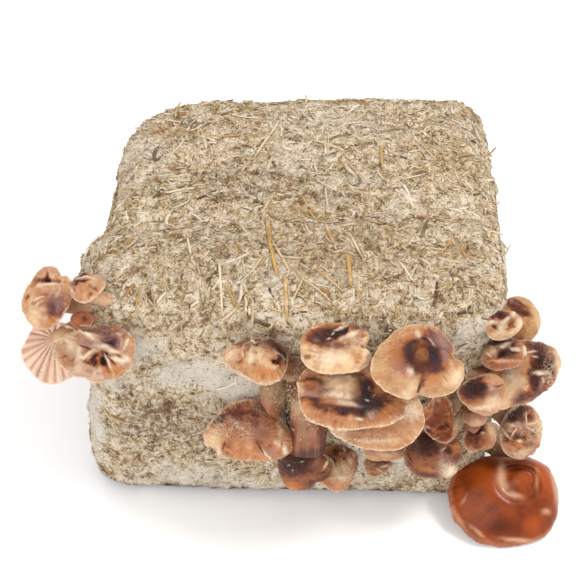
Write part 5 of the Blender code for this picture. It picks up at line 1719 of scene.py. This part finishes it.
def stem_line(mushroom, steps):
    """Points of a stem in mm, from inside the block into its cap's flesh, as in the part's source."""
    root = np.array(mushroom["root"], float)
    half = BLOCK_SIZE[:2] / 2
    inner = np.clip(root[:2], TOP_ROUNDING[:2] - half, half - TOP_ROUNDING[:2])
    away = np.append(root[:2] - inner, 0)
    away /= np.linalg.norm(away)
    at, look = cap_place(mushroom)
    out = look[:, 2]
    flat = np.array(mushroom["half"]) * np.array(mushroom["apex"])
    height = dome_height(mushroom, np.float64(0)) - mushroom["flesh"]
    end = at + look @ np.append(flat, height) + out * mushroom["flesh"] * mushroom["sink"]
    reach = np.linalg.norm(end - root) / 3
    handles = (root - away * STEM_BURIAL, root + away * reach, end - out * reach, end)
    t = np.linspace(0, 1, steps)[:, None]
    weights = ((1 - t) ** 3, 3 * t * (1 - t) ** 2, 3 * t * t * (1 - t), t**3)
    return sum(h * w for h, w in zip(handles, weights))


def stem_mesh(name, mushroom, marks, seed):
    """A fibrous stem that widens where it leaves the block and where it meets its cap."""
    steps, sides = STEM_GRID
    line = stem_line(mushroom, steps)
    ahead = np.gradient(line, axis=0)
    ahead /= np.linalg.norm(ahead, axis=1)[:, None]
    side = np.cross(ahead, (0, 0, 1.0))
    side /= np.linalg.norm(side, axis=1)[:, None]
    up = np.cross(side, ahead)
    along = np.linspace(0, 1, steps)
    foot, head = mushroom["stem"]
    girth = foot + (head - foot) * along
    girth *= (1 + 0.28 * (1 - along) ** 4) * (1 - 0.45 * smooth_step(along, 0.72, 1))
    angle = np.arange(sides) * math.tau / sides
    swings = np.stack((np.cos(angle), np.sin(angle)), axis=1)
    grain = np.column_stack((np.tile(swings, (steps, 1)), np.repeat(along, sides)))
    fibres = lumps(grain * (3, 3, 1.6), 1, seed) * 0.05 + lumps(grain * (9, 9, 3), 1, seed + 1) * 0.01
    wide = np.repeat(girth, sides) * (1 + fibres + 0.1 * lumps(grain * (1.5, 1.5, 4), 1, seed + 2))
    across = swings[None, :, :1] * side[:, None] + swings[None, :, 1:] * up[:, None]
    points = np.repeat(line, sides, axis=0) + across.reshape(-1, 3) * wide[:, None]
    mesh = closed_mesh(name, points, line[0], line[-1], sides)
    spread = np.repeat(along, sides)
    seen = seen_place(points)
    for step, tint in enumerate(STEM_TINTS):
        mask = np.zeros(len(spread))
        for mark in marks.get(tint, ()):
            mask = np.maximum(mask, mark[5] * mark_share(seen, points, mark, seed + 5 * step))
        store(mesh, tint, capped(mask, mask[0], mask[-1]))
    # share of the outlook that the caps fill, by which shade is painted on the stem
    store(mesh, "crowd", crowding(mesh_points(mesh), mesh_normals(mesh)))
    store(mesh, "root", capped(1 - smooth_step(spread, 0.2, 0.62), 1, 0))
    store(mesh, "grain", capped(grain, (0, 0, 0), (0, 0, 1)))
    return mesh


def stem_material(settings):
    """Pinkish tan flesh with fibres along it, dusty near its root, with painted shade where the caps crowd
    over it.
    """
    material, nodes, shader = new_material("stem_flesh")
    place = nodes.place()
    grain = nodes.attribute("grain", "Vector")
    fibres = nodes.spots(nodes.scaled(grain, (9, 9, 2.5)), 1, 5, 0.65)
    blotches = nodes.ramp(nodes.spots(place, 120, 4, 0.6), 0.35, 0.65)
    fine = nodes.spots(place, 1400, 3)
    flesh = settings.stem_colour
    colour = nodes.mix(blotches, toned(flesh, (0.66, 0.54, 0.45)), flesh)
    colour = nodes.tint(colour, fibres, 0.42, 0.7, 0.3, TONES["stem fibre"])
    fuzz = nodes.roughened(nodes.attribute("root"), fine, 1.2)
    # painted shade where the caps crowd over the stem
    colour = nodes.shaded_by_crowding(nodes.tint(colour, fuzz, 0.35, 0.8, 0.8, TONES["stem dust"]))
    for tint, tone in (("pale", settings.cream), ("brown", settings.brown), ("dark", settings.dark)):
        mask = nodes.attribute(tint)
        share = nodes.ramp(nodes.roughened(mask, fibres, 0.5), 0.1, 0.8)
        colour = nodes.mix(nodes.times(share, nodes.ramp(mask, 0.02, 0.2)), colour, tone)
    height = nodes.math("ADD", fibres, nodes.times(fine, 0.3))
    nodes.fill(
        shader, Base_Color=colour, Normal=nodes.bump(height, 0.001, 0.6), Roughness=0.55,
        Specular_IOR_Level=0.35, Subsurface_Weight=0.12, Subsurface_Radius=(1, 0.45, 0.25),
        Subsurface_Scale=0.003,
    )
    return material


def root_skin():
    """The skins of all stems as one, covered most near their roots."""
    corners, faces, cover = [], [], []
    for name in MUSHROOMS:
        mesh = bpy.data.objects[f"{name}_stalk"].data
        faces += [tuple(len(corners) + corner for corner in face.vertices) for face in mesh.polygons]
        corners += mesh_points(mesh).tolist()
        along = vectors(mesh.attributes["grain"].data, "vector")[:, 2]
        cover += (stored(mesh, "root") * (along > ROOT_FROM)).tolist()
    skin = new_mesh("root_skin", corners, faces)
    store(skin, "cover", np.array(cover))
    return skin


class GROWBLOCK_OT_stems(bpy.types.Operator):
    """Makes the fibrous stems that carry the caps, with the fuzz of straw dust on their roots"""

    bl_idname = "growblock.stems"
    bl_label = "Stems"

    def execute(self, context):
        material = stem_material(context.scene.grow_block_mushrooms)
        for step, (name, mushroom) in enumerate(MUSHROOMS.items()):
            mesh = stem_mesh(f"{name}_stalk", mushroom, STEM_MARKS.get(name, {}), 50 * (step + 1))
            add_piece(f"{name}_stalk", mesh, material, [f"{name}_stem"])
        straw = straw_material(context.scene.grow_block_substrate)
        skin = root_skin()
        tree = scatter_tree()
        kinds = {"root_crumbs": crumb_pieces("dust", 3, 40), "root_fuzz": straw_pieces("fuzz")}
        for label, pieces in kinds.items():
            count, seed = ROOT_COVER[label]
            scatter(label, skin, tree, pieces, straw, count, seed, LIES[label])
            clear_collection(pieces)
        return {"FINISHED"}


class GROWBLOCK_PT_panel(bpy.types.Panel):
    """Lists the steps that make the grow block"""

    bl_idname = "GROWBLOCK_PT_panel"
    bl_label = "Shiitake grow block"
    bl_space_type = "VIEW_3D"
    bl_region_type = "UI"
    bl_category = "Grow block"

    def draw(self, context):
        for label, (group, operators) in STEPS.items():
            box = self.layout.box()
            box.label(text=label)
            settings = getattr(context.scene, group)
            for name in type(settings).__annotations__:
                box.prop(settings, name)
            for operator in operators:
                box.operator(operator.bl_idname)


STEPS = {
    "Stage": ("grow_block_stage", (GROWBLOCK_OT_stage,)),
    "Pressed block": ("grow_block_substrate", (GROWBLOCK_OT_substrate,)),
    "Straw": ("grow_block_straw", (GROWBLOCK_OT_straw,)),
    "Mushrooms": ("grow_block_mushrooms", (GROWBLOCK_OT_stems, GROWBLOCK_OT_caps)),
}
SETTINGS = {
    "grow_block_stage": GrowBlockStage,
    "grow_block_substrate": GrowBlockSubstrate,
    "grow_block_straw": GrowBlockStraw,
    "grow_block_mushrooms": GrowBlockMushrooms,
}
CLASSES = (
    *SETTINGS.values(),
    *(operator for group, operators in STEPS.values() for operator in operators),
    GROWBLOCK_PT_panel,
)


def register():
    for made in CLASSES:
        bpy.utils.register_class(made)
    for name, group in SETTINGS.items():
        setattr(bpy.types.Scene, name, PointerProperty(type=group))


def unregister():
    for name in SETTINGS:
        delattr(bpy.types.Scene, name)
    for made in reversed(CLASSES):
        bpy.utils.unregister_class(made)


def main():
    register()
    for group, operators in STEPS.values():
        for operator in operators:
            category, name = operator.bl_idname.split(".")
            getattr(getattr(bpy.ops, category), name)()


if __name__ == "__main__":
    main()
